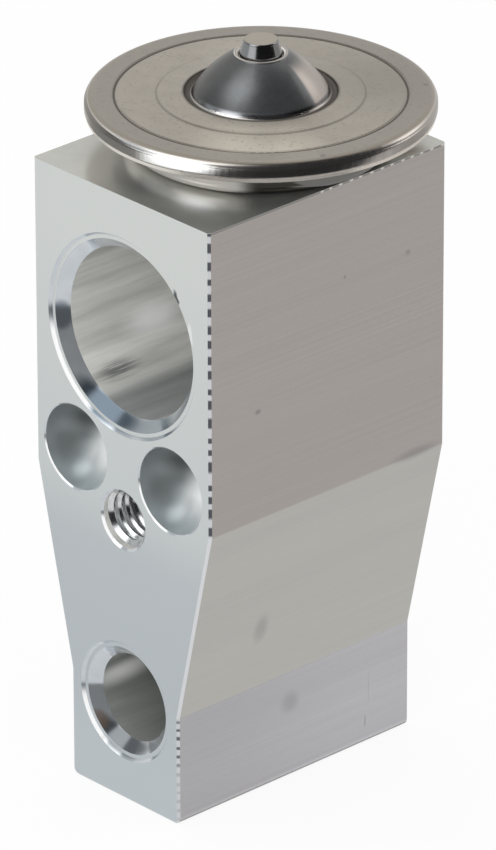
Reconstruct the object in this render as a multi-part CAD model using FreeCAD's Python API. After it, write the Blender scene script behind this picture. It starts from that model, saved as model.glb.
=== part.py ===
import FreeCAD, Part
import math
import os

from FreeCAD import Vector

# Block expansion valve, in millimetres.
# +Z is up, -Y is the side of the pipe connections, +X is an extruded side of the block.
# The origin is the middle of the block's underside.

# Block: an extrusion along Y, sawn to length, with both ends milled flat
BLOCK_WIDTH = 25.0
BLOCK_DEPTH = 31.4
BLOCK_HEIGHT = 65.4
SHOULDER_HEIGHT = 33.1
FOOT_HEIGHT = 11.8
FOOT_WIDTH = 15.5
FOOT_CORNER_RADIUS = 0.8
FACE_EDGE_BREAK = 0.25

# Valve axis: vertical, behind the middle of the block
AXIS_OFFSET = 2.8

# Suction passage: straight through, with the same seat on both faces and a throat between
SUCTION_BELOW_TOP = 15.0
SUCTION_BORE_RADIUS = 8.8
SUCTION_CONE_RADIUS = 9.88
SUCTION_SPOT_RADIUS = 10.55
SUCTION_THROAT_RADIUS = 8.3
SUCTION_FRONT_GAP = 0.3
SUCTION_BACK_GAP = 1.2

# Liquid ports: inlet in front, outlet to the evaporator behind and higher
INLET_HEIGHT = 10.85
OUTLET_HEIGHT = 24.0
LIQUID_BORE_RADIUS = 4.6
LIQUID_CONE_RADIUS = 5.67
LIQUID_SPOT_RADIUS = 6.37
INLET_BORE_DEPTH = 9.8
OUTLET_BORE_DEPTH = 8.2
INLET_DRILL_RADIUS = 2.9
OUTLET_DRILL_RADIUS = 3.0
SPOT_DEPTH = 0.3

# Blind bowls on the port face, either side of the middle
BOWL_SPACING = 13.6
BOWL_HEIGHT = 36.2
BOWL_MOUTH_RADIUS = 4.45
BOWL_DEPTH = 3.7
BOWL_EDGE_BREAK = 0.13

# Tapped hole for the pipe clamp, and two for the evaporator plate
CLAMP_HOLE_HEIGHT = 30.7
CLAMP_HOLE_DEPTH = 12.5
PLATE_HOLE_HEIGHT = 33.5
PLATE_HOLE_SPACING = 14.6
PLATE_HOLE_DEPTH = 11.5
TAPPED_HOLE_RADIUS = 3.0
TAPPED_HOLE_SINK = 0.22
DRILL_POINT_ANGLE = 118.0

# Chamber, seat and orifice on the valve axis
CHAMBER_RADIUS = 4.6
SEAT_HEIGHT = 19.0
SEAT_CONE_DROP = 1.7
ORIFICE_RADIUS = 1.7

# Adjusting screw in the foot
SCREW_THREAD_RADIUS = 5.0
SCREW_RECESS = 0.9
SCREW_THREAD_LENGTH = 3.2
SCREW_LENGTH = 6.8
SCREW_TRAVEL = 0.75
SCREW_SPIGOT_HEIGHT = 0.8
SCREW_HEX_FLATS = 4.0
SCREW_HEX_DEPTH = 2.4
SCREW_SEAL_RISE = 2.3
SCREW_SEAL_SECTION = 1.0
SCREW_GROOVE_WIDTH = 1.3
SCREW_MOUTH_SINK = 0.4
SCREW_BORE_RELIEF = 0.15

# Spring, ball and carrier
SPRING_WIRE = 0.8
SPRING_MEAN_RADIUS = 2.7
SPRING_TURNS = 4.5
BALL_RADIUS = 2.4
CARRIER_FLOW_GAP = 0.9
CARRIER_FLANGE_THICKNESS = 1.0
CARRIER_CUP_WALL = 0.5
CARRIER_CUP_HEIGHT = 1.7
CARRIER_FLOOR = 0.3
CARRIER_SPIGOT_HEIGHT = 1.0

# Push rod, its seal and the seal's retainer
ROD_RADIUS = 1.2
ROD_SEAL_SECTION = 1.3
ROD_SEAL_POCKET_DEPTH = 2.8
ROD_SEAL_POCKET_GAP = 0.06
RETAINER_THICKNESS = 0.4
RETAINER_TEETH = 6
RETAINER_SLOT_WIDTH = 0.5

# Sensing shaft
SHAFT_RADIUS = 3.2
SHAFT_POCKET_DEPTH = 5.2
SHAFT_FOOT_GAP = 0.4
SHAFT_SOCKET_DEPTH = 4.0
TURNED_EDGE_BREAK = 0.3
VALVE_LIFT = 0.5

# Neck and its bore in the block
NECK_THREAD_RADIUS = 9.0
NECK_BORE_RADIUS = 6.0
NECK_FOOT_GAP = 0.2
NECK_COLLAR_WALL = 1.6
NECK_COLLAR_LIP = 0.5
CROWN_THICKNESS = 1.9
CROWN_HOLE_RADIUS = 4.0
HEAD_SEAL_SECTION = 1.45

# Lower cover: a pressed dish with a lip
LOWER_SHEET = 0.7
DISH_BASE_RADIUS = 12.2
DISH_FOOT_ROUND = 0.9
DISH_WALL_FLARE = 0.35
LIP_RADIUS = 17.0
LIP_HEIGHT = 3.2
LIP_THICKNESS = 0.65
DISH_FILLET = 1.1

# Diaphragm
DIAPHRAGM_SHEET = 0.15
DIAPHRAGM_EDGE_INSET = 0.2
DIAPHRAGM_CLAMP_WIDTH = 1.7
DIAPHRAGM_SAG = 0.35
DIAPHRAGM_WAVES = 3
DIAPHRAGM_WAVE_HEIGHT = 0.12
DIAPHRAGM_WAVE_STEPS = 4

# Diaphragm stop
STOP_RADIUS = 9.0
STOP_THICKNESS = 0.9
STOP_BOSS_WALL = 1.35
STOP_BOSS_HEIGHT = 1.55

# Upper cover: pressed, with a rounded rim, a groove, a step, a moat and a bulging cone
UPPER_SHEET = 0.85
RIM_OVERHANG = 0.14
RIM_ROUND = 0.85
RIM_BAND = 0.05
RIM_FOOT_ROUND = 0.25
GROOVE_RADIUS = 14.25
GROOVE_WIDTH = 0.5
GROOVE_DEPTH = 0.13
STEP_RADIUS = 10.15
STEP_RISE = 0.12
CROWN_RISE = 0.28
MOAT_OUTER_RADIUS = 7.5
MOAT_INNER_RADIUS = 6.65
MOAT_DEPTH = 0.3
CONE_BULGE = 0.35
CONE_TOP_RADIUS = 2.6
CONE_TOP_RISE = 4.3
CONE_LIP_ROUND = 0.3
PLUG_RECESS_RADIUS = 2.2
PLUG_RECESS_DEPTH = 0.4
CHARGE_HOLE_RADIUS = 0.8

# Charge plug
PLUG_FLANGE_GAP = 0.13
PLUG_TOP_RADIUS = 1.74
PLUG_HEIGHT = 1.8
PLUG_FLANGE_THICKNESS = 0.45
PLUG_ROUND = 0.22
PLUG_STEM_LENGTH = 1.0

# Damping spring: a ring with three bent legs
DAMPER_SHEET = 0.3
DAMPER_RING_WIDTH = 1.2
DAMPER_LEGS = 3
DAMPER_LEG_WIDTH = 2.4
DAMPER_LEG_HEIGHT = 3.4
DAMPER_TIP_CURL = 0.6

# Clearances
THREAD_CLEARANCE = 0.06
FIT_CLEARANCE = 0.05
SLIDE_CLEARANCE = 0.1
SEAL_CLEARANCE = 0.04
SEAT_CLEARANCE = 0.1
STACK_CLEARANCE = 0.05
SPRING_CLEARANCE = 0.2

# How far a cutter starts outside the face that it opens
CUT_START = 1.0

# Places worked out from the sizes above
FRONT = -BLOCK_DEPTH / 2
BACK = BLOCK_DEPTH / 2
AXIS = Vector(0, AXIS_OFFSET, 0)
UP = Vector(0, 0, 1)
DRILL_POINT = math.tan(math.radians(90 - DRILL_POINT_ANGLE / 2))
SUCTION_HEIGHT = BLOCK_HEIGHT - SUCTION_BELOW_TOP

SCREW_TOP = SCREW_RECESS + SCREW_LENGTH
SCREW_THREAD_TOP = SCREW_RECESS + SCREW_THREAD_LENGTH
SCREW_BORE_DEPTH = SCREW_THREAD_TOP + SCREW_TRAVEL + SCREW_BORE_RELIEF
SCREW_SEAL_HEIGHT = SCREW_THREAD_TOP + SCREW_SEAL_RISE
SPIGOT_RADIUS = SPRING_MEAN_RADIUS - SPRING_WIRE / 2 - SPRING_CLEARANCE
BALL_HEIGHT = SEAT_HEIGHT - math.sqrt((BALL_RADIUS + SEAT_CLEARANCE) ** 2 - ORIFICE_RADIUS ** 2)
CARRIER_FLANGE_BASE = BALL_HEIGHT - BALL_RADIUS - CARRIER_FLOOR - CARRIER_FLANGE_THICKNESS
CARRIER_CUP_RADIUS = BALL_RADIUS + CARRIER_CUP_WALL

SHAFT_POCKET_FLOOR = SUCTION_HEIGHT - SUCTION_BORE_RADIUS - SHAFT_POCKET_DEPTH
SHAFT_FOOT_HEIGHT = SHAFT_POCKET_FLOOR + VALVE_LIFT + SHAFT_FOOT_GAP
ROD_GUIDE_RADIUS = ROD_RADIUS + FIT_CLEARANCE
ROD_FOOT = BALL_HEIGHT + BALL_RADIUS + STACK_CLEARANCE
ROD_TOP = SHAFT_FOOT_HEIGHT + SHAFT_SOCKET_DEPTH - STACK_CLEARANCE
ROD_SEAL_RING_RADIUS = ROD_RADIUS + SEAL_CLEARANCE + ROD_SEAL_SECTION / 2
ROD_SEAL_POCKET_RADIUS = ROD_SEAL_RING_RADIUS + ROD_SEAL_SECTION / 2 + ROD_SEAL_POCKET_GAP
ROD_SEAL_POCKET_FLOOR = SHAFT_POCKET_FLOOR - ROD_SEAL_POCKET_DEPTH

SHAFT_TO_FRONT = AXIS_OFFSET - SHAFT_RADIUS - FRONT
SHAFT_TO_BACK = BACK - AXIS_OFFSET - SHAFT_RADIUS
NECK_BORE_FLOOR = SUCTION_HEIGHT + SUCTION_BORE_RADIUS + CROWN_THICKNESS
NECK_COLLAR_RADIUS = NECK_BORE_RADIUS + NECK_COLLAR_WALL
HEAD_SEAL_GROOVE_RADIUS = NECK_THREAD_RADIUS + HEAD_SEAL_SECTION + STACK_CLEARANCE
HEAD_SEAL_GROOVE_FLOOR = BLOCK_HEIGHT - HEAD_SEAL_SECTION - STACK_CLEARANCE

LIP_TOP = BLOCK_HEIGHT + LIP_HEIGHT + LIP_THICKNESS
CLAMP_RADIUS = LIP_RADIUS - DIAPHRAGM_CLAMP_WIDTH
DIAPHRAGM_MIDDLE = LIP_TOP - DIAPHRAGM_SAG
STOP_TOP = DIAPHRAGM_MIDDLE - STACK_CLEARANCE
STOP_BASE = STOP_TOP - STOP_THICKNESS
SHAFT_TOP = STOP_BASE - STACK_CLEARANCE
RIM_BASE = LIP_TOP + DIAPHRAGM_SHEET
RIM_TOP = RIM_BASE + RIM_FOOT_ROUND + RIM_BAND + RIM_ROUND
CONE_TOP = RIM_TOP + CONE_TOP_RISE
PLUG_SEAT = CONE_TOP - PLUG_RECESS_DEPTH


def outline(points):
    """Closed face in the XZ half plane from (radius, height) points.

    A point with a third value is the middle of an arc to the next point.
    """
    edges = []
    last = points[0]
    through = None
    for point in points[1:] + points[:1]:
        if len(point) == 3:
            through = point
            continue
        start = Vector(last[0], 0, last[1])
        end = Vector(point[0], 0, point[1])
        if through is None:
            edges.append(Part.LineSegment(start, end).toShape())
        else:
            middle = Vector(through[0], 0, through[1])
            edges.append(Part.Arc(start, middle, end).toShape())
        last = point
        through = None
    return Part.Face(Part.Wire(edges))


def turned(points):
    """Solid of revolution about the valve axis."""
    solid = outline(points).revolve(Vector(), UP, 360)
    solid.translate(AXIS)
    return solid


def corner(radius, height, size, quarter):
    """Middle point of a quarter round whose centre is at (radius, height)."""
    angle = math.radians(quarter)
    return (radius + size * math.cos(angle), height + size * math.sin(angle), "arc")


def bulged(start, end, bulge):
    """Middle point of a shallow arc, raised to the right of the way from start to end."""
    along = (end[0] - start[0], end[1] - start[1])
    length = math.hypot(*along)
    middle = ((start[0] + end[0]) / 2, (start[1] + end[1]) / 2)
    return (middle[0] + along[1] / length * bulge, middle[1] - along[0] / length * bulge, "arc")


def cylinder_on_axis(radius, low, high):
    return Part.makeCylinder(radius, high - low, AXIS + UP * low)


def hexagon(across_flats, low, height):
    """Six-sided prism on the valve axis."""
    sides = 6
    reach = across_flats / 2 / math.cos(math.pi / sides)
    corners = []
    for side in range(sides + 1):
        angle = 2 * math.pi * side / sides
        corners.append(AXIS + Vector(math.cos(angle), math.sin(angle), 0) * reach + UP * low)
    return Part.Face(Part.makePolygon(corners)).extrude(UP * height)


def ring_of_round_wire(centre_radius, section, height):
    """O-ring round the valve axis."""
    return Part.makeTorus(centre_radius, section / 2, AXIS + UP * height)


def bored_from_face(points, x, height, face, inward):
    """Cutter turned about Y: points are (depth from the face, radius)."""
    profile = [Vector(0, depth, radius) for depth, radius in points]
    profile = [Vector(0, profile[0].y, 0)] + profile + [Vector(0, profile[-1].y, 0)]
    wire = Part.makePolygon(profile + profile[:1])
    cutter = Part.Face(wire).revolve(Vector(), Vector(0, 1, 0), 360)
    if inward < 0:
        cutter = cutter.mirror(Vector(), Vector(0, 1, 0))
    cutter.translate(Vector(x, face, height))
    return cutter


def block_blank():
    half = BLOCK_WIDTH / 2
    foot = FOOT_WIDTH / 2
    round_ = FOOT_CORNER_RADIUS
    inset = round_ * (1 - math.sqrt(0.5))
    right = [
        (foot - round_, 0),
        (foot - inset, inset, "arc"),
        (foot, round_),
        (foot, FOOT_HEIGHT),
        (half, SHOULDER_HEIGHT),
        (half, BLOCK_HEIGHT),
    ]
    left = [(-point[0],) + point[1:] for point in reversed(right)]
    prism = outline(right + left).extrude(Vector(0, BLOCK_DEPTH, 0))
    prism.translate(Vector(0, FRONT, 0))
    below_top = BLOCK_HEIGHT - FACE_EDGE_BREAK
    boxes = [(edge, edge.BoundBox) for edge in prism.Edges]
    rims = [edge for edge, box in boxes if box.YLength < FACE_EDGE_BREAK and box.ZMin < below_top]
    return prism.makeChamfer(FACE_EDGE_BREAK, rims)


def port_profile(bore, cone, spot, depth):
    """Spotface with a 45 degree rim, 45 degree cone and bore."""
    cone_depth = SPOT_DEPTH + cone - bore
    return [
        (-CUT_START, spot),
        (0, spot),
        (SPOT_DEPTH, spot - SPOT_DEPTH),
        (SPOT_DEPTH, cone),
        (cone_depth, bore),
        (depth, bore),
    ]


def suction_cutters():
    cutters = []
    for face, inward, depth in (
        (FRONT, 1, SHAFT_TO_FRONT - SUCTION_FRONT_GAP),
        (BACK, -1, SHAFT_TO_BACK - SUCTION_BACK_GAP),
    ):
        profile = port_profile(
            SUCTION_BORE_RADIUS, SUCTION_CONE_RADIUS, SUCTION_SPOT_RADIUS, depth
        )
        cutters.append(bored_from_face(profile, 0, SUCTION_HEIGHT, face, inward))
    start = Vector(0, FRONT, SUCTION_HEIGHT)
    throat = Part.makeCylinder(SUCTION_THROAT_RADIUS, BLOCK_DEPTH, start, Vector(0, 1, 0))
    return cutters + [throat]


def liquid_cutters():
    cutters = []
    for height, face, inward, bore_depth, drill in (
        (INLET_HEIGHT, FRONT, 1, INLET_BORE_DEPTH, INLET_DRILL_RADIUS),
        (OUTLET_HEIGHT, BACK, -1, OUTLET_BORE_DEPTH, OUTLET_DRILL_RADIUS),
    ):
        to_axis = abs(face - AXIS_OFFSET)
        profile = port_profile(
            LIQUID_BORE_RADIUS, LIQUID_CONE_RADIUS, LIQUID_SPOT_RADIUS, bore_depth
        )
        shoulder = bore_depth + (LIQUID_BORE_RADIUS - drill) * DRILL_POINT
        profile += [(shoulder, drill), (to_axis, drill)]
        profile += [(to_axis + drill * DRILL_POINT, 0)]
        cutters.append(bored_from_face(profile, 0, height, face, inward))
    return cutters


def tapped_hole(x, height, depth, face, inward):
    sink = TAPPED_HOLE_RADIUS + TAPPED_HOLE_SINK
    profile = [
        (-CUT_START, sink),
        (0, sink),
        (TAPPED_HOLE_SINK, TAPPED_HOLE_RADIUS),
        (depth, TAPPED_HOLE_RADIUS),
        (depth + TAPPED_HOLE_RADIUS * DRILL_POINT, 0),
    ]
    return bored_from_face(profile, x, height, face, inward)


def tapped_hole_cutters():
    cutters = [tapped_hole(0, CLAMP_HOLE_HEIGHT, CLAMP_HOLE_DEPTH, FRONT, 1)]
    for side in (-1, 1):
        x = side * PLATE_HOLE_SPACING / 2
        cutters.append(tapped_hole(x, PLATE_HOLE_HEIGHT, PLATE_HOLE_DEPTH, BACK, -1))
    return cutters


def bowl_cutters():
    """Round-bottomed pockets, each with a narrow break round its mouth."""
    ball = (BOWL_MOUTH_RADIUS ** 2 + BOWL_DEPTH ** 2) / (2 * BOWL_DEPTH)
    cutters = []
    for side in (-1, 1):
        x = side * BOWL_SPACING / 2
        centre = Vector(x, FRONT + BOWL_DEPTH - ball, BOWL_HEIGHT)
        pocket = Part.makeSphere(ball, centre)
        inside = Part.makeBox(4 * ball, 2 * ball, 4 * ball)
        inside.translate(Vector(x - 2 * ball, FRONT, BOWL_HEIGHT - 2 * ball))
        mouth = Part.makeCone(
            BOWL_MOUTH_RADIUS + BOWL_EDGE_BREAK,
            BOWL_MOUTH_RADIUS - BOWL_EDGE_BREAK,
            2 * BOWL_EDGE_BREAK,
            Vector(x, FRONT, BOWL_HEIGHT),
            Vector(0, 1, 0),
        )
        cutters += [pocket.common(inside), mouth]
    return cutters


def axis_cutters():
    """Bores on the valve axis, from the foot to the top face."""
    mouth = SCREW_THREAD_RADIUS + SCREW_MOUTH_SINK
    screw_bore = turned([
        (0, -CUT_START),
        (mouth, -CUT_START),
        (mouth, 0),
        (SCREW_THREAD_RADIUS, SCREW_MOUTH_SINK),
        (SCREW_THREAD_RADIUS, SCREW_BORE_DEPTH),
        (CHAMBER_RADIUS, SCREW_BORE_DEPTH),
        (CHAMBER_RADIUS, SEAT_HEIGHT - SEAT_CONE_DROP),
        (ORIFICE_RADIUS, SEAT_HEIGHT),
        (ORIFICE_RADIUS, OUTLET_HEIGHT),
        (0, OUTLET_HEIGHT),
    ])
    shaft_pocket = SHAFT_RADIUS + SLIDE_CLEARANCE
    rod_bore = turned([
        (0, OUTLET_HEIGHT),
        (ROD_GUIDE_RADIUS, OUTLET_HEIGHT),
        (ROD_GUIDE_RADIUS, ROD_SEAL_POCKET_FLOOR),
        (ROD_SEAL_POCKET_RADIUS, ROD_SEAL_POCKET_FLOOR),
        (ROD_SEAL_POCKET_RADIUS, SHAFT_POCKET_FLOOR),
        (shaft_pocket, SHAFT_POCKET_FLOOR),
        (shaft_pocket, SUCTION_HEIGHT),
        (CROWN_HOLE_RADIUS, SUCTION_HEIGHT),
        (CROWN_HOLE_RADIUS, NECK_BORE_FLOOR),
        (NECK_THREAD_RADIUS, NECK_BORE_FLOOR),
        (NECK_THREAD_RADIUS, HEAD_SEAL_GROOVE_FLOOR),
        (HEAD_SEAL_GROOVE_RADIUS, HEAD_SEAL_GROOVE_FLOOR),
        (HEAD_SEAL_GROOVE_RADIUS, BLOCK_HEIGHT + CUT_START),
        (0, BLOCK_HEIGHT + CUT_START),
    ])
    return [screw_bore, rod_bore]


def valve_block():
    cutters = suction_cutters() + liquid_cutters()
    cutters += tapped_hole_cutters() + bowl_cutters() + axis_cutters()
    return block_blank().cut(cutters)


def head_neck():
    """Threaded sleeve, with a thinner collar that the lower cover is brazed to."""
    thread = NECK_THREAD_RADIUS - THREAD_CLEARANCE
    foot = NECK_BORE_FLOOR + NECK_FOOT_GAP
    collar_top = BLOCK_HEIGHT + LOWER_SHEET + NECK_COLLAR_LIP
    lead = TURNED_EDGE_BREAK
    return turned([
        (NECK_BORE_RADIUS, foot),
        (thread - lead, foot),
        (thread, foot + lead),
        (thread, BLOCK_HEIGHT),
        (NECK_COLLAR_RADIUS, BLOCK_HEIGHT),
        (NECK_COLLAR_RADIUS, collar_top),
        (NECK_BORE_RADIUS, collar_top),
    ])


def head_seal():
    centre = (NECK_THREAD_RADIUS - THREAD_CLEARANCE + HEAD_SEAL_GROOVE_RADIUS) / 2
    height = (HEAD_SEAL_GROOVE_FLOOR + BLOCK_HEIGHT) / 2
    return ring_of_round_wire(centre, HEAD_SEAL_SECTION, height)


def head_lower_cover():
    """Dish with a rounded foot, a slightly flared wall and a flat lip."""
    sheet = LOWER_SHEET
    base = BLOCK_HEIGHT
    hole = NECK_COLLAR_RADIUS + FIT_CLEARANCE
    foot = DISH_FOOT_ROUND
    wall_foot = DISH_BASE_RADIUS + foot
    wall_top = wall_foot + DISH_WALL_FLARE
    lip_under = base + LIP_HEIGHT
    bend = DISH_FILLET
    return turned([
        (hole, base),
        (DISH_BASE_RADIUS, base),
        corner(DISH_BASE_RADIUS, base + foot, foot, -45),
        (wall_foot, base + foot),
        (wall_top, lip_under - bend),
        corner(wall_top + bend, lip_under - bend, bend, 135),
        (wall_top + bend, lip_under),
        (LIP_RADIUS, lip_under),
        (LIP_RADIUS, LIP_TOP),
        (CLAMP_RADIUS, LIP_TOP),
        (wall_top + bend - sheet, lip_under - bend + sheet),
        (DISH_BASE_RADIUS, base + 2 * sheet),
        (DISH_BASE_RADIUS - sheet / 2, base + sheet),
        (hole, base + sheet),
    ])


def diaphragm():
    """Thin sheet: flat clamped edge, rings of waves, and a flat middle set lower."""
    waves_span = CLAMP_RADIUS - STOP_RADIUS
    count = DIAPHRAGM_WAVES * DIAPHRAGM_WAVE_STEPS
    under = [(0, DIAPHRAGM_MIDDLE), (STOP_RADIUS, DIAPHRAGM_MIDDLE)]
    for step in range(1, count):
        share = step / count
        wave = math.sin(2 * math.pi * DIAPHRAGM_WAVES * share)
        height = DIAPHRAGM_MIDDLE + DIAPHRAGM_SAG * share - DIAPHRAGM_WAVE_HEIGHT * abs(wave)
        under.append((STOP_RADIUS + waves_span * share, height))
    under += [(CLAMP_RADIUS, LIP_TOP), (LIP_RADIUS - DIAPHRAGM_EDGE_INSET, LIP_TOP)]
    over = [(radius, height + DIAPHRAGM_SHEET) for radius, height in reversed(under)]
    return turned(under + over)


def diaphragm_stop():
    """Pad with a boss below, bored for the shaft's end."""
    socket = SHAFT_RADIUS + FIT_CLEARANCE
    boss_foot = STOP_BASE - STOP_BOSS_HEIGHT
    return turned([
        (0, STOP_TOP),
        (STOP_RADIUS, STOP_TOP),
        (STOP_RADIUS, STOP_BASE),
        (socket + STOP_BOSS_WALL, STOP_BASE),
        (socket + STOP_BOSS_WALL, boss_foot),
        (socket, boss_foot),
        (socket, STOP_BASE),
        (0, STOP_BASE),
    ])


def sensing_shaft():
    """Solid shaft with a socket in its foot for the push rod."""
    socket = ROD_RADIUS + FIT_CLEARANCE
    break_ = TURNED_EDGE_BREAK
    return turned([
        (socket, SHAFT_FOOT_HEIGHT),
        (SHAFT_RADIUS - break_, SHAFT_FOOT_HEIGHT),
        (SHAFT_RADIUS, SHAFT_FOOT_HEIGHT + break_),
        (SHAFT_RADIUS, SHAFT_TOP - break_),
        (SHAFT_RADIUS - break_, SHAFT_TOP),
        (0, SHAFT_TOP),
        (0, SHAFT_FOOT_HEIGHT + SHAFT_SOCKET_DEPTH),
        (socket, SHAFT_FOOT_HEIGHT + SHAFT_SOCKET_DEPTH),
    ])


def push_rod():
    return cylinder_on_axis(ROD_RADIUS, ROD_FOOT, ROD_TOP)


def rod_oring():
    height = ROD_SEAL_POCKET_FLOOR + STACK_CLEARANCE / 2 + ROD_SEAL_SECTION / 2
    return ring_of_round_wire(ROD_SEAL_RING_RADIUS, ROD_SEAL_SECTION, height)


def rod_oring_retainer():
    """Push-on ring, slotted into teeth round its inner edge."""
    low = ROD_SEAL_POCKET_FLOOR + ROD_SEAL_SECTION + STACK_CLEARANCE
    high = low + RETAINER_THICKNESS
    outer = ROD_SEAL_POCKET_RADIUS - FIT_CLEARANCE
    inner = ROD_RADIUS + SLIDE_CLEARANCE
    ring = cylinder_on_axis(outer, low, high).cut(cylinder_on_axis(inner, low, high))
    slot_length = (inner + outer) / 2
    for tooth in range(RETAINER_TEETH):
        slot = Part.makeBox(slot_length, RETAINER_SLOT_WIDTH, RETAINER_THICKNESS)
        slot.translate(Vector(0, AXIS_OFFSET - RETAINER_SLOT_WIDTH / 2, low))
        slot.rotate(AXIS, UP, tooth * 360 / RETAINER_TEETH)
        ring = ring.cut(slot)
    return ring


def valve_ball():
    return Part.makeSphere(BALL_RADIUS, AXIS + UP * BALL_HEIGHT)


def ball_carrier():
    """Flanged cup: the ball sits in its round hollow, the spring round its spigot."""
    base = CARRIER_FLANGE_BASE
    flange_top = base + CARRIER_FLANGE_THICKNESS
    cup_top = flange_top + CARRIER_CUP_HEIGHT
    body = turned([
        (0, base - CARRIER_SPIGOT_HEIGHT),
        (SPIGOT_RADIUS, base - CARRIER_SPIGOT_HEIGHT),
        (SPIGOT_RADIUS, base),
        (CHAMBER_RADIUS - CARRIER_FLOW_GAP, base),
        (CHAMBER_RADIUS - CARRIER_FLOW_GAP, flange_top),
        (CARRIER_CUP_RADIUS, flange_top),
        (CARRIER_CUP_RADIUS, cup_top),
        (0, cup_top),
    ])
    hollow = Part.makeSphere(BALL_RADIUS + FIT_CLEARANCE, AXIS + UP * BALL_HEIGHT)
    return body.cut(hollow)


def valve_spring():
    """Round wire in a helix, both ends ground flat."""
    low = SCREW_TOP + STACK_CLEARANCE
    high = CARRIER_FLANGE_BASE - STACK_CLEARANCE
    pitch = (high - low) / SPRING_TURNS
    helix = Part.makeHelix(pitch, high - low, SPRING_MEAN_RADIUS)
    helix.translate(AXIS + UP * low)
    start = AXIS + Vector(SPRING_MEAN_RADIUS, 0, low)
    along = Vector(0, 2 * math.pi * SPRING_MEAN_RADIUS, pitch)
    section = Part.Wire(Part.makeCircle(SPRING_WIRE / 2, start, along))
    coil = Part.Wire(helix).makePipeShell([section], True, True)
    reach = SPRING_MEAN_RADIUS + SPRING_WIRE
    return coil.common(cylinder_on_axis(reach, low, high))


def adjusting_screw():
    """Threaded foot, plain upper part with a seal groove, and a spigot for the spring."""
    thread = SCREW_THREAD_RADIUS - THREAD_CLEARANCE
    plain = CHAMBER_RADIUS - THREAD_CLEARANCE
    groove = CHAMBER_RADIUS - SEAL_CLEARANCE * 3 / 2 - SCREW_SEAL_SECTION
    groove_low = SCREW_SEAL_HEIGHT - SCREW_GROOVE_WIDTH / 2
    groove_high = SCREW_SEAL_HEIGHT + SCREW_GROOVE_WIDTH / 2
    lead = TURNED_EDGE_BREAK
    body = turned([
        (0, SCREW_RECESS),
        (thread - lead, SCREW_RECESS),
        (thread, SCREW_RECESS + lead),
        (thread, SCREW_THREAD_TOP),
        (plain, SCREW_THREAD_TOP),
        (plain, groove_low),
        (groove, groove_low),
        (groove, groove_high),
        (plain, groove_high),
        (plain, SCREW_TOP),
        (SPIGOT_RADIUS, SCREW_TOP),
        (SPIGOT_RADIUS, SCREW_TOP + SCREW_SPIGOT_HEIGHT),
        (0, SCREW_TOP + SCREW_SPIGOT_HEIGHT),
    ])
    return body.cut(hexagon(SCREW_HEX_FLATS, SCREW_RECESS, SCREW_HEX_DEPTH))


def adjusting_screw_oring():
    centre = CHAMBER_RADIUS - SEAL_CLEARANCE - SCREW_SEAL_SECTION / 2
    return ring_of_round_wire(centre, SCREW_SEAL_SECTION, SCREW_SEAL_HEIGHT)


def head_upper_cover():
    """Pressed cover: the outer face is followed inside at the sheet's thickness."""
    top = RIM_TOP
    sheet = UPPER_SHEET
    rim = LIP_RADIUS + RIM_OVERHANG
    rim_flat = rim - RIM_ROUND
    groove_in = GROOVE_RADIUS - GROOVE_WIDTH / 2
    groove_out = GROOVE_RADIUS + GROOVE_WIDTH / 2
    moat_middle = (MOAT_OUTER_RADIUS + MOAT_INNER_RADIUS) / 2
    cone_wide = (MOAT_INNER_RADIUS - CONE_TOP_RADIUS) / (CONE_TOP_RISE - CROWN_RISE)
    cone_lean = math.hypot(1, cone_wide) * sheet
    lip = CONE_LIP_ROUND
    foot = RIM_FOOT_ROUND
    cavity = STOP_RADIUS - sheet
    inner_top = top - sheet
    cone_foot = (MOAT_INNER_RADIUS, top + CROWN_RISE)
    cone_head = (CONE_TOP_RADIUS + lip / 2, CONE_TOP - lip / 2)
    inner_head = (CONE_TOP_RADIUS - sheet, PLUG_SEAT - sheet)
    inner_foot = (MOAT_INNER_RADIUS, top + CROWN_RISE - cone_lean)
    return turned([
        (CLAMP_RADIUS, RIM_BASE),
        (rim - foot, RIM_BASE),
        corner(rim - foot, RIM_BASE + foot, foot, -45),
        (rim, RIM_BASE + foot),
        (rim, top - RIM_ROUND),
        corner(rim_flat, top - RIM_ROUND, RIM_ROUND, 45),
        (rim_flat, top),
        (groove_out, top),
        (GROOVE_RADIUS, top - GROOVE_DEPTH, "arc"),
        (groove_in, top),
        (STEP_RADIUS + STEP_RISE, top),
        (STEP_RADIUS - STEP_RISE, top + STEP_RISE),
        (MOAT_OUTER_RADIUS, top + CROWN_RISE),
        (moat_middle, top + CROWN_RISE - MOAT_DEPTH, "arc"),
        cone_foot,
        bulged(cone_foot, cone_head, CONE_BULGE),
        cone_head,
        (CONE_TOP_RADIUS - lip / 2, CONE_TOP, "arc"),
        (PLUG_RECESS_RADIUS, CONE_TOP - lip / 2),
        (PLUG_RECESS_RADIUS, PLUG_SEAT),
        (CHARGE_HOLE_RADIUS, PLUG_SEAT),
        (CHARGE_HOLE_RADIUS, PLUG_SEAT - sheet),
        inner_head,
        bulged(inner_head, inner_foot, -CONE_BULGE),
        inner_foot,
        (cavity, inner_top),
        (CLAMP_RADIUS - sheet, inner_top),
    ])


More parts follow.
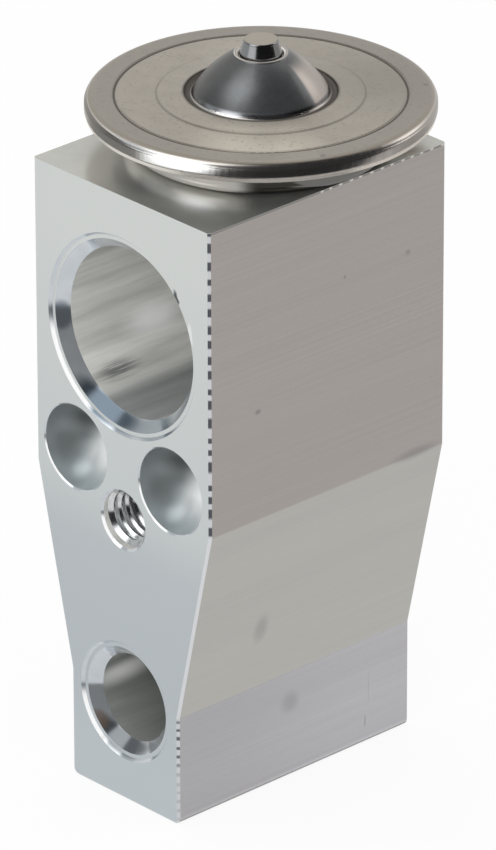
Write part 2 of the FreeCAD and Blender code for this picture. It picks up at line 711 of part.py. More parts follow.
def charge_plug():
    """Button with a flange in the recess, a rounded top and a stem in the filling hole."""
    flange_top = PLUG_SEAT + STACK_CLEARANCE + PLUG_FLANGE_THICKNESS
    top = PLUG_SEAT + PLUG_HEIGHT
    stem = CHARGE_HOLE_RADIUS - FIT_CLEARANCE
    flange = PLUG_RECESS_RADIUS - PLUG_FLANGE_GAP
    round_ = PLUG_ROUND
    return turned([
        (0, PLUG_SEAT - PLUG_STEM_LENGTH),
        (stem, PLUG_SEAT - PLUG_STEM_LENGTH),
        (stem, PLUG_SEAT + STACK_CLEARANCE),
        (flange, PLUG_SEAT + STACK_CLEARANCE),
        (flange, flange_top),
        (PLUG_TOP_RADIUS, top - round_),
        corner(PLUG_TOP_RADIUS - round_, top - round_, round_, 45),
        (PLUG_TOP_RADIUS - round_, top),
        (0, top),
    ])


def shaft_damping_spring():
    """Sheet ring with legs bent up and in, which brush the sensing shaft."""
    sheet = DAMPER_SHEET
    low = NECK_BORE_FLOOR + STACK_CLEARANCE
    tip = low + DAMPER_LEG_HEIGHT
    outer = NECK_BORE_RADIUS - SPRING_CLEARANCE
    ring_inner = outer - DAMPER_RING_WIDTH
    touch = SHAFT_RADIUS + SLIDE_CLEARANCE
    waist = tip - DAMPER_TIP_CURL
    section = turned([
        (outer, low),
        (outer, low + sheet),
        (ring_inner + sheet, low + sheet),
        (touch + sheet, waist),
        (touch + sheet + DAMPER_TIP_CURL / 2, tip),
        (touch + DAMPER_TIP_CURL / 2, tip),
        (touch, waist),
        (ring_inner, low),
    ])
    keep = cylinder_on_axis(outer, low, low + sheet)
    for leg in range(DAMPER_LEGS):
        arm = Part.makeBox(outer, DAMPER_LEG_WIDTH, DAMPER_LEG_HEIGHT)
        arm.translate(Vector(0, AXIS_OFFSET - DAMPER_LEG_WIDTH / 2, low))
        arm.rotate(AXIS, UP, 90 + leg * 360 / DAMPER_LEGS)
        keep = keep.fuse(arm)
    return section.common(keep)


NODES = {
    "valve_block": valve_block,
    "head_neck": head_neck,
    "head_seal": head_seal,
    "head_lower_cover": head_lower_cover,
    "diaphragm": diaphragm,
    "head_upper_cover": head_upper_cover,
    "charge_plug": charge_plug,
    "diaphragm_stop": diaphragm_stop,
    "sensing_shaft": sensing_shaft,
    "shaft_damping_spring": shaft_damping_spring,
    "push_rod": push_rod,
    "rod_oring": rod_oring,
    "rod_oring_retainer": rod_oring_retainer,
    "valve_ball": valve_ball,
    "ball_carrier": ball_carrier,
    "valve_spring": valve_spring,
    "adjusting_screw": adjusting_screw,
    "adjusting_screw_oring": adjusting_screw_oring,
}

os.makedirs("parts", exist_ok=True)
for node, make in NODES.items():
    shape = make()
    solids = shape.Solids
    print(node, len(solids), "solid", round(shape.Volume, 2), "mm3", "valid", shape.isValid())
    if len(solids) == 1:
        shape = solids[0]
    shape.exportStep("parts/" + node + ".step")
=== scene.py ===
import math

import bmesh
import bpy
from mathutils import Matrix, Vector


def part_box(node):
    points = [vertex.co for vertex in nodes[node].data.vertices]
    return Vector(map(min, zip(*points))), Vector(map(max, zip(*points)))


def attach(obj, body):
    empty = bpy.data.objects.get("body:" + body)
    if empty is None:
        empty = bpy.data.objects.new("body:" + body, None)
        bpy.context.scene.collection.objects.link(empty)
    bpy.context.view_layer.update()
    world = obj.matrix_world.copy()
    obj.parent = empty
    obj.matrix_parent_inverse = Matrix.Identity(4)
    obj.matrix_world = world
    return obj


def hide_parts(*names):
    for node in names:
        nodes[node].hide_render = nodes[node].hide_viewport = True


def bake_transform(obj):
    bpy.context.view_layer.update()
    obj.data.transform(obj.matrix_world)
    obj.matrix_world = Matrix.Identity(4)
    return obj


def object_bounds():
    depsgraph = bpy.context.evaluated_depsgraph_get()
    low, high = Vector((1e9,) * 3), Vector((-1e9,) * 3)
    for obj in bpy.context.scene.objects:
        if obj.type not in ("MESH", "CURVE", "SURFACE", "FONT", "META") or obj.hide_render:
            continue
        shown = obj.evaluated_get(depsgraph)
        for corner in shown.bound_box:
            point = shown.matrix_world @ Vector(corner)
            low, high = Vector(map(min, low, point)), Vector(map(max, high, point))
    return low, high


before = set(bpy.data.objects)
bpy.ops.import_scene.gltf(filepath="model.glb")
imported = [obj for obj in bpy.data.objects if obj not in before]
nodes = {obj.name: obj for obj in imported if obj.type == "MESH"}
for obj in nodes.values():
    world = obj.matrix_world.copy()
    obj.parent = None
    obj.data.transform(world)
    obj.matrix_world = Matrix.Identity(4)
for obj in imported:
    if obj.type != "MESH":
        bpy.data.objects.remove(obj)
cad_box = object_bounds()
MM = 0.001


# Studio
# A pale floor under the part, soft light from all round, and for the metal a studio of
# large soft lamps with dark room between them, as polished steel shows it.
WHITE = (1.0, 1.0, 1.0, 1)


def place(tree, kind, inputs=(), **settings):
    """Adds a node. An input is either a number, a colour or another node's socket."""
    node = tree.nodes.new(kind)
    for name, value in settings.items():
        setattr(node, name, value)
    for socket, value in dict(inputs).items():
        if isinstance(value, bpy.types.NodeSocket):
            tree.links.new(value, node.inputs[socket])
        else:
            node.inputs[socket].default_value = value
    return node


def calculate(tree, operation, first, second=0.0, third=0.0, clamp=False):
    inputs = {0: first, 1: second, 2: third}
    node = place(tree, "ShaderNodeMath", inputs, operation=operation, use_clamp=clamp)
    return node.outputs[0]


def facing_share(tree, vector, towards):
    """The cosine between a direction and another."""
    node = place(tree, "ShaderNodeVectorMath", {0: vector, 1: towards}, operation="DOT_PRODUCT")
    return node.outputs["Value"]


def ramp(tree, value, low, high, smooth=True):
    """0 below low, 1 above high; low may be the larger one."""
    inputs = {"Value": value, "From Min": low, "From Max": high}
    kind = "SMOOTHSTEP" if smooth else "LINEAR"
    node = place(tree, "ShaderNodeMapRange", inputs, interpolation_type=kind, clamp=True)
    return node.outputs["Result"]


def mix_colours(tree, factor, first, second, blend="MIX"):
    """The Mix node keeps its factor at 0, its colours at 6 and 7 and their mix at 2."""
    inputs = {0: factor, 6: first, 7: second}
    return place(tree, "ShaderNodeMix", inputs, data_type="RGBA", blend_type=blend).outputs[2]


CAMERA_AZIMUTH = math.radians(46.954)
CAMERA_ELEVATION = math.radians(25.612)
CAMERA_ROLL = math.radians(-0.133)
CAMERA_DISTANCE = 910.068
CAMERA_ASIDE = 0.643
CAMERA_UP = 32.313
CAMERA_LENS = 385.95
CAMERA_CLIP = 0.01
SENSOR_HEIGHT = 36.0

turn_sin, turn_cos = math.sin(CAMERA_AZIMUTH), math.cos(CAMERA_AZIMUTH)
to_right = Vector((turn_cos, turn_sin, 0))
to_front = Vector((turn_sin, -turn_cos, 0))
to_camera = to_front * math.cos(CAMERA_ELEVATION)
to_camera.z = math.sin(CAMERA_ELEVATION)
to_top = to_camera.cross(to_right)
roll_cos, roll_sin = math.cos(CAMERA_ROLL), math.sin(CAMERA_ROLL)
picture_right = to_right * roll_cos + to_top * roll_sin
picture_up = to_top * roll_cos - to_right * roll_sin

camera_data = bpy.data.cameras.new("camera")
camera_data.sensor_fit = "VERTICAL"
camera_data.sensor_height = SENSOR_HEIGHT
camera_data.lens = CAMERA_LENS
camera_data.clip_start = CAMERA_CLIP
camera = bpy.data.objects.new("camera", camera_data)
axes = Matrix((picture_right, picture_up, to_camera)).transposed().to_4x4()
camera_spot = picture_right * CAMERA_ASIDE + picture_up * CAMERA_UP + to_camera * CAMERA_DISTANCE
camera.matrix_world = Matrix.Translation(camera_spot * MM) @ axes
bpy.context.collection.objects.link(camera)
bpy.context.scene.camera = camera
bpy.context.scene.view_settings.view_transform = "Standard"

# Each patch of the studio: towards front, right and up, then where it ends and is full
# (degrees from its middle), its colour and its strength.
STUDIO_DARK = (0.017, 0.017, 0.018, 1)
STUDIO_PATCHES = (
    ((-0.90, 0.0, 0.35), 64, 57, (1.0, 0.985, 0.955), 0.80),
    ((-0.06, -0.90, -0.43), 40, 32, (0.975, 1.0, 1.0), 0.79),
    ((-0.25, 0.87, -0.42), 44, 36, (1.0, 0.97, 0.94), 0.60),
    ((0.05, 0.0, -1.0), 64.5, 62, (1.0, 1.0, 1.0), 0.74),
    ((0.19, -0.50, 0.84), 24, 18, (1.0, 1.0, 1.0), 2.4),
    ((0.58, -0.77, 0.26), 27, 21, (0.99, 1.0, 1.0), 1.5),
    ((-0.20, -0.80, 0.56), 22, 12, (0.94, 0.98, 1.0), 0.5),
    ((-0.38, 0.80, 0.47), 16, 12, (1.0, 0.97, 0.94), 1.7),
)
ROOM_LIGHT = (0.93, 0.93, 0.93, 1)

world = bpy.data.worlds.new("studio")
bpy.context.scene.world = world
world.use_nodes = True
sky = world.node_tree
sky.nodes.clear()
direction = place(sky, "ShaderNodeTexCoord").outputs["Generated"]
studio = STUDIO_DARK
for (front, right, up), ends, full, colour, strength in STUDIO_PATCHES:
    middle = (to_front * front + to_right * right + Vector((0, 0, up))).normalized()
    cosines = (math.cos(math.radians(ends)), math.cos(math.radians(full)))
    patch = ramp(sky, facing_share(sky, direction, middle), *cosines)
    lit = tuple(strength * part for part in colour) + (1,)
    studio = mix_colours(sky, patch, studio, lit, "LIGHTEN")
rays = place(sky, "ShaderNodeLightPath")
shiny = calculate(sky, "MAXIMUM", rays.outputs["Is Glossy Ray"], rays.outputs["Is Transmission Ray"])
room = mix_colours(sky, shiny, ROOM_LIGHT, studio)
seen = mix_colours(sky, rays.outputs["Is Camera Ray"], room, WHITE)
background = place(sky, "ShaderNodeBackground", {"Color": seen, "Strength": 1.0})
place(sky, "ShaderNodeOutputWorld", {"Surface": background.outputs[0]})

FLOOR_HALF = 3.0
FLOOR_DROP = 0.02
FLOOR_COLOURS = ((0.92, 0.92, 0.92, 1), (0.95, 0.95, 0.95, 1))
FLOOR_WHITE_SHARE = 0.9
FLOOR_ROUGH = 0.9
floor_mesh = bpy.data.meshes.new("floor")
signs = ((-1, -1), (1, -1), (1, 1), (-1, 1))
corners = [(x * FLOOR_HALF, y * FLOOR_HALF, -FLOOR_DROP * MM) for x, y in signs]
floor_mesh.from_pydata(corners, [], [(0, 1, 2, 3)])
floor = bpy.data.objects.new("floor", floor_mesh)
bpy.context.collection.objects.link(floor)
floor_material = bpy.data.materials.new("pale floor")
floor_material.use_nodes = True
floor_tree = floor_material.node_tree
paper = floor_tree.nodes["Principled BSDF"]
paper_grain = place(floor_tree, "ShaderNodeTexNoise", {"Scale": 40.0, "Detail": 3.0}).outputs["Fac"]
paper_colour = mix_colours(floor_tree, paper_grain, *FLOOR_COLOURS)
floor_tree.links.new(paper_colour, paper.inputs["Base Color"])
paper.inputs["Roughness"].default_value = FLOOR_ROUGH
paper.inputs["Specular IOR Level"].default_value = 0.0
paper_white = place(floor_tree, "ShaderNodeEmission", {"Color": WHITE, "Strength": 1.0})
seen_directly = place(floor_tree, "ShaderNodeLightPath").outputs["Is Camera Ray"]
white_share = calculate(floor_tree, "MULTIPLY", seen_directly, FLOOR_WHITE_SHARE)
whitened = place(floor_tree, "ShaderNodeMixShader",
                 {0: white_share, 1: paper.outputs[0], 2: paper_white.outputs[0]})
floor_tree.links.new(whitened.outputs[0], floor_tree.nodes["Material Output"].inputs["Surface"])
floor_mesh.materials.append(floor_material)
floor.visible_glossy = False

LAMP_SIZE = 0.5
LAMP_POWER = 1.6
LAMP_FROM = to_front * 0.66 - to_right * 0.20 + Vector((0, 0, 0.36))
LAMP_AIM = Vector((0, 0, 0.03))
lamp_data = bpy.data.lights.new("key lamp", "AREA")
lamp_data.shape = "RECTANGLE"
lamp_data.size = LAMP_SIZE
lamp_data.size_y = LAMP_SIZE
lamp_data.energy = LAMP_POWER
lamp = bpy.data.objects.new("key lamp", lamp_data)
lamp.location = LAMP_FROM
lamp.rotation_euler = (LAMP_FROM - LAMP_AIM).to_track_quat("Z", "Y").to_euler()
lamp.visible_glossy = False
lamp.visible_camera = False
bpy.context.collection.objects.link(lamp)


# Valve block
# One piece of extruded aluminium, sawn off, its two ends milled flat and its ports bored.
# The extruded sides keep fine draw lines along Y; the milled edges carry chatter marks.
AXIS_Y = 2.8
HALF_WIDTH = 12.5
HALF_DEPTH = 15.7
BLOCK_TOP = 65.4
SUCTION_Z = 50.4
SHOULDER_Z = 33.1
FOOT_Z = 11.8
FOOT_HALF = 7.75
BOWL_X = 6.8
BOWL_Z = 36.2
BOWL_REACH = 4.45
FLOAT = "NodeSocketFloat"
VECTOR = "NodeSocketVector"


def new_group(name, inputs, outputs):
    """A shader group. An input has a name, a kind and a first value, an output a name and a kind."""
    group = bpy.data.node_groups.new(name, "ShaderNodeTree")
    for socket, kind, value in inputs:
        made = group.interface.new_socket(socket, in_out="INPUT", socket_type=kind)
        if value is not None:
            made.default_value = value
    for socket, kind in outputs:
        group.interface.new_socket(socket, in_out="OUTPUT", socket_type=kind)
    return group, place(group, "NodeGroupInput").outputs


def use_group(tree, group, **inputs):
    """Places a group; an underscore in an input's name stands for a space."""
    named = {name.replace("_", " "): value for name, value in inputs.items()}
    return place(tree, "ShaderNodeGroup", named, node_tree=group).outputs


# Place on the part in millimetres, the distance from the valve's upright axis and the angle round it
on_part, _ = new_group(
    "place on part",
    (),
    (("Point", VECTOR), ("X", FLOAT), ("Y", FLOAT), ("Z", FLOAT), ("From axis", FLOAT), ("Around", FLOAT)),
)
metres = place(on_part, "ShaderNodeTexCoord").outputs["Object"]
point = place(on_part, "ShaderNodeVectorMath", {0: metres, "Scale": 1 / MM}, operation="SCALE").outputs[0]
apart = place(on_part, "ShaderNodeSeparateXYZ", {0: point}).outputs
across = calculate(on_part, "SUBTRACT", apart["Y"], AXIS_Y)
squares = calculate(on_part, "MULTIPLY_ADD", across, across, calculate(on_part, "POWER", apart["X"], 2.0))
radius = calculate(on_part, "SQRT", squares)
around = calculate(on_part, "ARCTAN2", across, apart["X"])
place(on_part, "NodeGroupOutput", {"Point": point, "X": apart["X"], "Y": apart["Y"], "Z": apart["Z"],
                                   "From axis": radius, "Around": around})

# Streaks: a noise stretched along one axis
streaks, given = new_group(
    "streaks",
    (("Point", VECTOR, None), ("Stretch", VECTOR, (1, 1, 1)), ("Contrast", FLOAT, 1.0),
     ("Detail", FLOAT, 4.0)),
    (("Value", FLOAT),),
)
stretched = place(streaks, "ShaderNodeVectorMath", {0: given["Point"], 1: given["Stretch"]},
                  operation="MULTIPLY")
noise = place(streaks, "ShaderNodeTexNoise",
              {"Vector": stretched.outputs[0], "Scale": 1.0, "Detail": given["Detail"], "Roughness": 0.6})
centred = calculate(streaks, "SUBTRACT", noise.outputs["Fac"], 0.5)
stronger = calculate(streaks, "MULTIPLY_ADD", centred, given["Contrast"], 0.5, clamp=True)
place(streaks, "NodeGroupOutput", {"Value": stronger})

# Spot: a soft oval mask round a place on the part
soft_spot, given = new_group(
    "soft spot",
    (("Point", VECTOR, None), ("Middle", VECTOR, (0, 0, 0)), ("Half size", VECTOR, (1, 1, 1)),
     ("Soft", FLOAT, 0.5)),
    (("Mask", FLOAT),),
)
away = place(soft_spot, "ShaderNodeVectorMath", {0: given["Point"], 1: given["Middle"]},
             operation="SUBTRACT")
scaled = place(soft_spot, "ShaderNodeVectorMath", {0: away.outputs[0], 1: given["Half size"]},
               operation="DIVIDE")
far = place(soft_spot, "ShaderNodeVectorMath", {0: scaled.outputs[0]}, operation="LENGTH")
inner = calculate(soft_spot, "SUBTRACT", 1.0, given["Soft"])
place(soft_spot, "NodeGroupOutput", {"Mask": ramp(soft_spot, far.outputs["Value"], 1.0, inner)})

# Dashes: a row of marks along one coordinate, unevenly spaced
DASH_WANDER = 0.35
DASH_SOFT = (-0.45, 0.45)
dashes, given = new_group(
    "dashes",
    (("Along", FLOAT, 0.0), ("Pitch", FLOAT, 1.7), ("Start", FLOAT, 0.0), ("Uneven", FLOAT, 0.3),
     ("Sharp", FLOAT, 0.0)),
    (("Mask", FLOAT),),
)
wander = place(dashes, "ShaderNodeTexNoise", {"W": given["Along"], "Scale": DASH_WANDER, "Detail": 1.0},
               noise_dimensions="1D")
centred = calculate(dashes, "SUBTRACT", wander.outputs["Fac"], 0.5)
shift = calculate(dashes, "MULTIPLY", centred, given["Uneven"])
shifted = calculate(dashes, "ADD", calculate(dashes, "SUBTRACT", given["Along"], given["Start"]), shift)
turns = calculate(dashes, "DIVIDE", shifted, given["Pitch"])
wave = calculate(dashes, "COSINE", calculate(dashes, "MULTIPLY", turns, 2 * math.pi))
narrowed = calculate(dashes, "SUBTRACT", wave, given["Sharp"])
place(dashes, "NodeGroupOutput", {"Mask": ramp(dashes, narrowed, *DASH_SOFT)})


def new_material(name, metallic=1.0):
    """A material with an empty tree but for the shader; returns it, its tree and the shader."""
    made = bpy.data.materials.new(name)
    made.use_nodes = True
    tree = made.node_tree
    tree.nodes["Principled BSDF"].inputs["Metallic"].default_value = metallic
    return made, tree, tree.nodes["Principled BSDF"]


def finish(tree, shader, colour, roughness, normal=None, metallic=None):
    wanted = (("Base Color", colour), ("Roughness", roughness), ("Normal", normal), ("Metallic", metallic))
    for name, value in wanted:
        if isinstance(value, bpy.types.NodeSocket):
            tree.links.new(value, shader.inputs[name])
        elif value is not None:
            shader.inputs[name].default_value = value


def bump(tree, height, distance, strength=1.0):
    node = place(tree, "ShaderNodeBump", {"Height": height, "Distance": distance * MM, "Strength": strength})
    return node.outputs[0]


def surface_normal(tree):
    return place(tree, "ShaderNodeNewGeometry").outputs["Normal"]


def split(tree, vector):
    return place(tree, "ShaderNodeSeparateXYZ", {0: vector}).outputs


def mix_values(tree, factor, first, second):
    node = place(tree, "ShaderNodeMix", {0: factor, 2: first, 3: second}, data_type="FLOAT")
    return node.outputs[0]


def both(tree, first, *others):
    """Where all masks hold: their product."""
    for other in others:
        first = calculate(tree, "MULTIPLY", first, other)
    return first


def opposite(tree, mask):
    return calculate(tree, "SUBTRACT", 1.0, mask)


def stronger_of(tree, first, second):
    return second if first is None else calculate(tree, "MAXIMUM", first, second)


def between(tree, value, starts, full, fades, ends):
    """1 from full to fades, 0 before starts and after ends."""
    return both(tree, ramp(tree, value, starts, full), ramp(tree, value, ends, fades))


def streaked(tree, point, stretch, contrast, detail=4.0):
    """A noise with so many turns to the millimetre; one number serves all three axes."""
    if isinstance(stretch, float):
        stretch = (stretch,) * 3
    made = use_group(tree, streaks, Point=point, Stretch=stretch, Contrast=contrast, Detail=detail)
    return made["Value"]


def paint(tree, under, mask, over, share=1.0):
    """Lays a colour over another where the mask says, up to a share."""
    if share != 1.0:
        mask = both(tree, mask, share)
    return mix_colours(tree, mask, under, over)


def spot_mask(tree, point, middle, half_size, soft):
    made = use_group(tree, soft_spot, Point=point, Middle=middle, Half_size=half_size, Soft=soft)
    return made["Mask"]


def paint_spots(tree, under, point, spots, soft):
    """Paints spots one over another; each has its middle, half size, colour and share."""
    for middle, half_size, over, share in spots:
        under = paint(tree, under, spot_mask(tree, point, middle, half_size, soft), over, share)
    return under


def marks_mask(tree, point, marks, soft):
    """The strongest of several marks; each has its middle, half size and how dark it is."""
    strongest = None
    for middle, half_size, dark in marks:
        mark = both(tree, spot_mask(tree, point, middle, half_size, soft), dark)
        strongest = stronger_of(tree, strongest, mark)
    return strongest


def grey(level, blue=0.0):
    return (level * (1 - blue), level, level * (1 + blue), 1)


block_aluminium, tree, shader = new_material("block aluminium")
where = use_group(tree, on_part)
point, x, y, z = (where[name] for name in ("Point", "X", "Y", "Z"))
normal = surface_normal(tree)
facing = split(tree, normal)
facing_x, facing_y, from_middle_x, from_middle_y = (
    calculate(tree, "ABSOLUTE", value) for value in (facing["X"], facing["Y"], x, y))

# Where each kind of surface lies: bowls, milled ends, drawn sides, top, chamfers and edges
NEAR_END = (HALF_DEPTH - 0.36, HALF_DEPTH - 0.31)
NARROW_RIM = (HALF_DEPTH - 0.31, HALF_DEPTH - 0.28)
END_FACING = (0.93, 0.97)
SIDE_FACING = (0.9, 0.95)
SLOPE_FACING = (0.6, 0.68, 0.74, 0.8)
SIDE_REACH = (0.5, 0.3)
EDGE_REACH = (0.5, 0.4)
TOP_HEIGHTS = (BLOCK_TOP - 0.06, BLOCK_TOP - 0.01)
BOWLS_FRONT = (-8.0, -9.0)
BOWL_RIM = (BOWL_REACH + 0.01, BOWL_REACH - 0.01)
bowl_x = calculate(tree, "SUBTRACT", from_middle_x, BOWL_X)
bowl_z = calculate(tree, "SUBTRACT", z, BOWL_Z)
bowl_squares = calculate(tree, "MULTIPLY_ADD", bowl_x, bowl_x, both(tree, bowl_z, bowl_z))
from_bowl = calculate(tree, "SQRT", bowl_squares)
in_front = ramp(tree, y, *BOWLS_FRONT)
in_bowl = both(tree, ramp(tree, from_bowl, *BOWL_RIM), in_front)
taper_share = ramp(tree, z, FOOT_Z, SHOULDER_Z, smooth=False)
edge_x = mix_values(tree, taper_share, FOOT_HALF, HALF_WIDTH)
to_edge = calculate(tree, "SUBTRACT", edge_x, from_middle_x)
on_ends = both(tree, ramp(tree, facing_y, *END_FACING), ramp(tree, from_middle_y, *NEAR_END))
on_sides = both(tree, ramp(tree, facing_x, *SIDE_FACING), ramp(tree, to_edge, *SIDE_REACH))
on_top = ramp(tree, z, *TOP_HEIGHTS)
on_slopes = both(tree, between(tree, facing_y, *SLOPE_FACING), opposite(tree, in_bowl))
on_edges = both(tree, ramp(tree, to_edge, *EDGE_REACH), on_slopes)
narrow_rims = both(tree, on_slopes, ramp(tree, from_middle_y, *NARROW_RIM))

# Milled ends: cool, satin, a little darker between the clamp hole and the inlet
END_LOW, END_HIGH = (0.63, 0.67, 0.70, 1), (0.81, 0.82, 0.80, 1)
END_BELOW_HOLE = (0.53, 0.565, 0.60, 1)
END_CLOUD = (0.55, 0.57, 0.58, 1)
END_CLOUDS = ((0.12, 0.12, 0.05), 1.2)
END_HEIGHTS = (0.0, 60.0)
BELOW_HOLE = (2.0, 14.0, 25.0, 34.0)
end_cloud = streaked(tree, point, *END_CLOUDS)
end_colour = mix_colours(tree, ramp(tree, z, *END_HEIGHTS, smooth=False), END_LOW, END_HIGH)
end_colour = paint(tree, end_colour, between(tree, z, *BELOW_HOLE), END_BELOW_HOLE, share=0.5)
end_colour = paint(tree, end_colour, end_cloud, END_CLOUD, share=0.12)

# Extruded sides: warm above the shoulder, paler on the taper, bluish on the foot. Their zone colours are
# partly their own tone and partly painted light and shade; the foot darkens towards the front and all sides
# darken a little, both as painted shade.
ABOVE_SHOULDER = (0.68, 0.63, 0.595, 1)
ON_TAPER = (0.70, 0.69, 0.635, 1)
FOOT_SHADED_TO_LIT = ((0.73, 0.73, 0.75, 1), (0.83, 0.83, 0.86, 1))
DRAWN_BAND = (0.58, 0.52, 0.50, 1)
DRAWN_LINE = (0.45, 0.43, 0.42, 1)
SIDE_PAINTED_SHADE = (0.92, 0.93, 0.945, 1)
DRAW_LINES = ((1.0, 0.02, 3.2), 2.6)
DRAW_BANDS = ((0.2, 0.012, 0.28), 2.4)
BEND_HALF = 0.15
FOOT_SHADING_DEPTHS = (-14.0, 14.0)
draw_lines = streaked(tree, point, *DRAW_LINES)
draw_bands = streaked(tree, point, *DRAW_BANDS)
above = ramp(tree, z, SHOULDER_Z - BEND_HALF, SHOULDER_Z + BEND_HALF)
below = ramp(tree, z, FOOT_Z + BEND_HALF, FOOT_Z - BEND_HALF)
# Painted shade: the foot's colour darkens towards the front
foot_colour = mix_colours(tree, ramp(tree, y, *FOOT_SHADING_DEPTHS), *FOOT_SHADED_TO_LIT)
side_colour = mix_colours(tree, above, ON_TAPER, ABOVE_SHOULDER)
side_colour = mix_colours(tree, below, side_colour, foot_colour)
side_colour = paint(tree, side_colour, draw_bands, DRAWN_BAND, share=0.22)
side_colour = paint(tree, side_colour, draw_lines, DRAWN_LINE, share=0.10)
# Painted shade: every side a little darker
side_colour = mix_colours(tree, 1.0, side_colour, SIDE_PAINTED_SHADE, "MULTIPLY")

# Handling marks on the right-hand side: middle, half size and how dark
SIDE_MARK = (0.20, 0.20, 0.22, 1)
SIDE_MARKS = (
    ((12.5, -9.37, 44.66), (0.3, 0.55, 0.4), 0.45),
    ((12.5, 10.61, 55.32), (0.3, 0.5, 0.45), 0.35),
    ((12.5, 2.16, 55.32), (0.3, 0.25, 0.3), 0.4),
    ((9.36, -6.1, 19.0), (1.2, 1.3, 2.4), 0.28),
    ((7.75, -0.66, 8.38), (0.3, 1.7, 1.6), 0.24),
    ((7.75, 9.62, 2.6), (0.3, 0.16, 1.0), 0.35),
    ((7.75, 10.1, 6.2), (0.3, 0.1, 2.6), 0.15),
    ((12.5, 11.8, 33.3), (0.3, 4.2, 0.9), 0.3),
)
side_colour = paint(tree, side_colour, marks_mask(tree, point, SIDE_MARKS, soft=0.8), SIDE_MARK)

# Saw marks along the upper edge of the sides
TOP_EDGE_DEPTH = 0.28
SAW_MARKS_FROM = (-1.5, -1.0)
SAW_SHADE, SAW_SHINE = grey(0.2, 0.02), (0.95, 0.94, 0.9, 1)
top_edge = ramp(tree, z, BLOCK_TOP - TOP_EDGE_DEPTH, BLOCK_TOP - TOP_EDGE_DEPTH / 2)
top_edge = both(tree, top_edge, on_sides)
saw_marks = use_group(tree, dashes, Along=y, Pitch=1.35, Start=0.3, Uneven=0.8, Sharp=0.55)["Mask"]
saw_marks = both(tree, saw_marks, ramp(tree, y, *SAW_MARKS_FROM))
side_colour = paint(tree, side_colour, top_edge, SAW_SHADE, share=0.6)
side_colour = paint(tree, side_colour, both(tree, top_edge, saw_marks), SAW_SHINE)

# Bored surfaces: pale and mostly matt, with soft streaks along the bores; painted shade at the big bore's
# roof and low in it and in the small bores, and painted highlights in the inlet and the big bore
BORE_DULL, BORE_BRIGHT = (0.46, 0.46, 0.435, 1), (1.0, 0.995, 0.955, 1)
BORE_LINE = (0.45, 0.45, 0.45, 1)
BORE_ROOF_SHADE = (0.22, 0.23, 0.215, 1)
BORE_LOW_SHADE = (0.16, 0.18, 0.19, 1)
SMALL_BORE_SHADE = (0.15, 0.165, 0.16, 1)
SMALL_BORES_TOP = (18.0, 17.0)
INLET_HIGHLIGHT = (1.0, 1.0, 0.97, 1)
# Painted highlights: two in the inlet bore and one in the big bore
PAINTED_HIGHLIGHTS = (
    ((-4.2, -11.0, 11.3), (2.2, 6.5, 1.7), INLET_HIGHLIGHT, 1.0),
    ((-5.2, -11.0, 7.6), (2.0, 6.5, 0.9), INLET_HIGHLIGHT, 0.6),
    ((-7.9, -4.4, 46.2), (2.4, 5.2, 2.0), WHITE, 1.0),
)
RUBBED_PATCH = ((-5.2, -11.1, 43.7), (2.0, 3.8, 1.1))
RUBBED = (0.12, 0.13, 0.14, 1)
RUBBED_THROUGH = (0.30, 0.55)
BORE_STREAKS = ((0.6, 0.045, 0.6), 1.7)
BORE_FINE = ((4.0, 0.12, 4.0), 2.0)
ROOF_HEIGHTS = (SUCTION_Z + 4.0, SUCTION_Z + 7.5)
FLOOR_HEIGHTS = (38.0, 40.0, SUCTION_Z - 8.4, SUCTION_Z - 7.5)
bore_streaks = streaked(tree, point, *BORE_STREAKS)
bore_fine = streaked(tree, point, *BORE_FINE)
high_in_bore = ramp(tree, z, *ROOF_HEIGHTS)
low_in_bore = between(tree, z, *FLOOR_HEIGHTS)
in_small_bores = ramp(tree, z, *SMALL_BORES_TOP)
bore_colour = mix_colours(tree, bore_streaks, BORE_DULL, BORE_BRIGHT)
bore_colour = paint(tree, bore_colour, bore_fine, BORE_LINE, share=0.14)
# Painted shade high in the big bore and low down in it
bore_colour = paint(tree, bore_colour, high_in_bore, BORE_ROOF_SHADE, share=0.75)
bore_colour = paint(tree, bore_colour, low_in_bore, BORE_LOW_SHADE, share=0.75)
# Painted shade in the small bores
bore_colour = paint(tree, bore_colour, in_small_bores, SMALL_BORE_SHADE, share=0.75)
bore_colour = paint_spots(tree, bore_colour, point, PAINTED_HIGHLIGHTS, soft=0.9)
rubbed = both(tree, spot_mask(tree, point, *RUBBED_PATCH, soft=0.8), ramp(tree, bore_fine, *RUBBED_THROUGH))
bore_colour = paint(tree, bore_colour, rubbed, RUBBED, share=0.8)

# Bowls: plunged with a ball cutter, satin and bluish; painted shade on their left, low down and up left of
# the middle, painted light on their right
BOWL_SHADED, BOWL_LIT = (0.23, 0.255, 0.26, 1), (0.97, 0.98, 0.98, 1)
BOWL_LOW_SHADING = (0.38, 0.43, 0.45, 1)
BOWL_CLOUD = (0.22, 0.245, 0.25, 1)
BOWL_PAINTED_SHADE = (0.06, 0.067, 0.067, 1)
BOWL_ACROSS, BOWL_BELOW = (-2.2, 0.9), (-1.5, -4.2)
BOWL_PAINTED_SHADES = tuple(
    ((middle - 1.6, -12.6, BOWL_Z + 1.6), (3.0, 2.6, 2.6), BOWL_PAINTED_SHADE, 0.85) for middle in (-BOWL_X, BOWL_X))
MOTTLE = (0.5, 1.6)
mottle = streaked(tree, point, *MOTTLE)
bowl_side = both(tree, bowl_x, calculate(tree, "SIGN", x))
# Painted shade on the left of each bowl, painted light on its right
bowl_colour = mix_colours(tree, ramp(tree, bowl_side, *BOWL_ACROSS), BOWL_SHADED, BOWL_LIT)
# Painted shade low down in the bowls
bowl_colour = paint(tree, bowl_colour, ramp(tree, bowl_z, *BOWL_BELOW), BOWL_LOW_SHADING)
bowl_colour = paint(tree, bowl_colour, mottle, BOWL_CLOUD, share=0.25)
# Painted shade in a patch up and left of each bowl's middle
bowl_colour = paint_spots(tree, bowl_colour, point, BOWL_PAINTED_SHADES, soft=0.95)
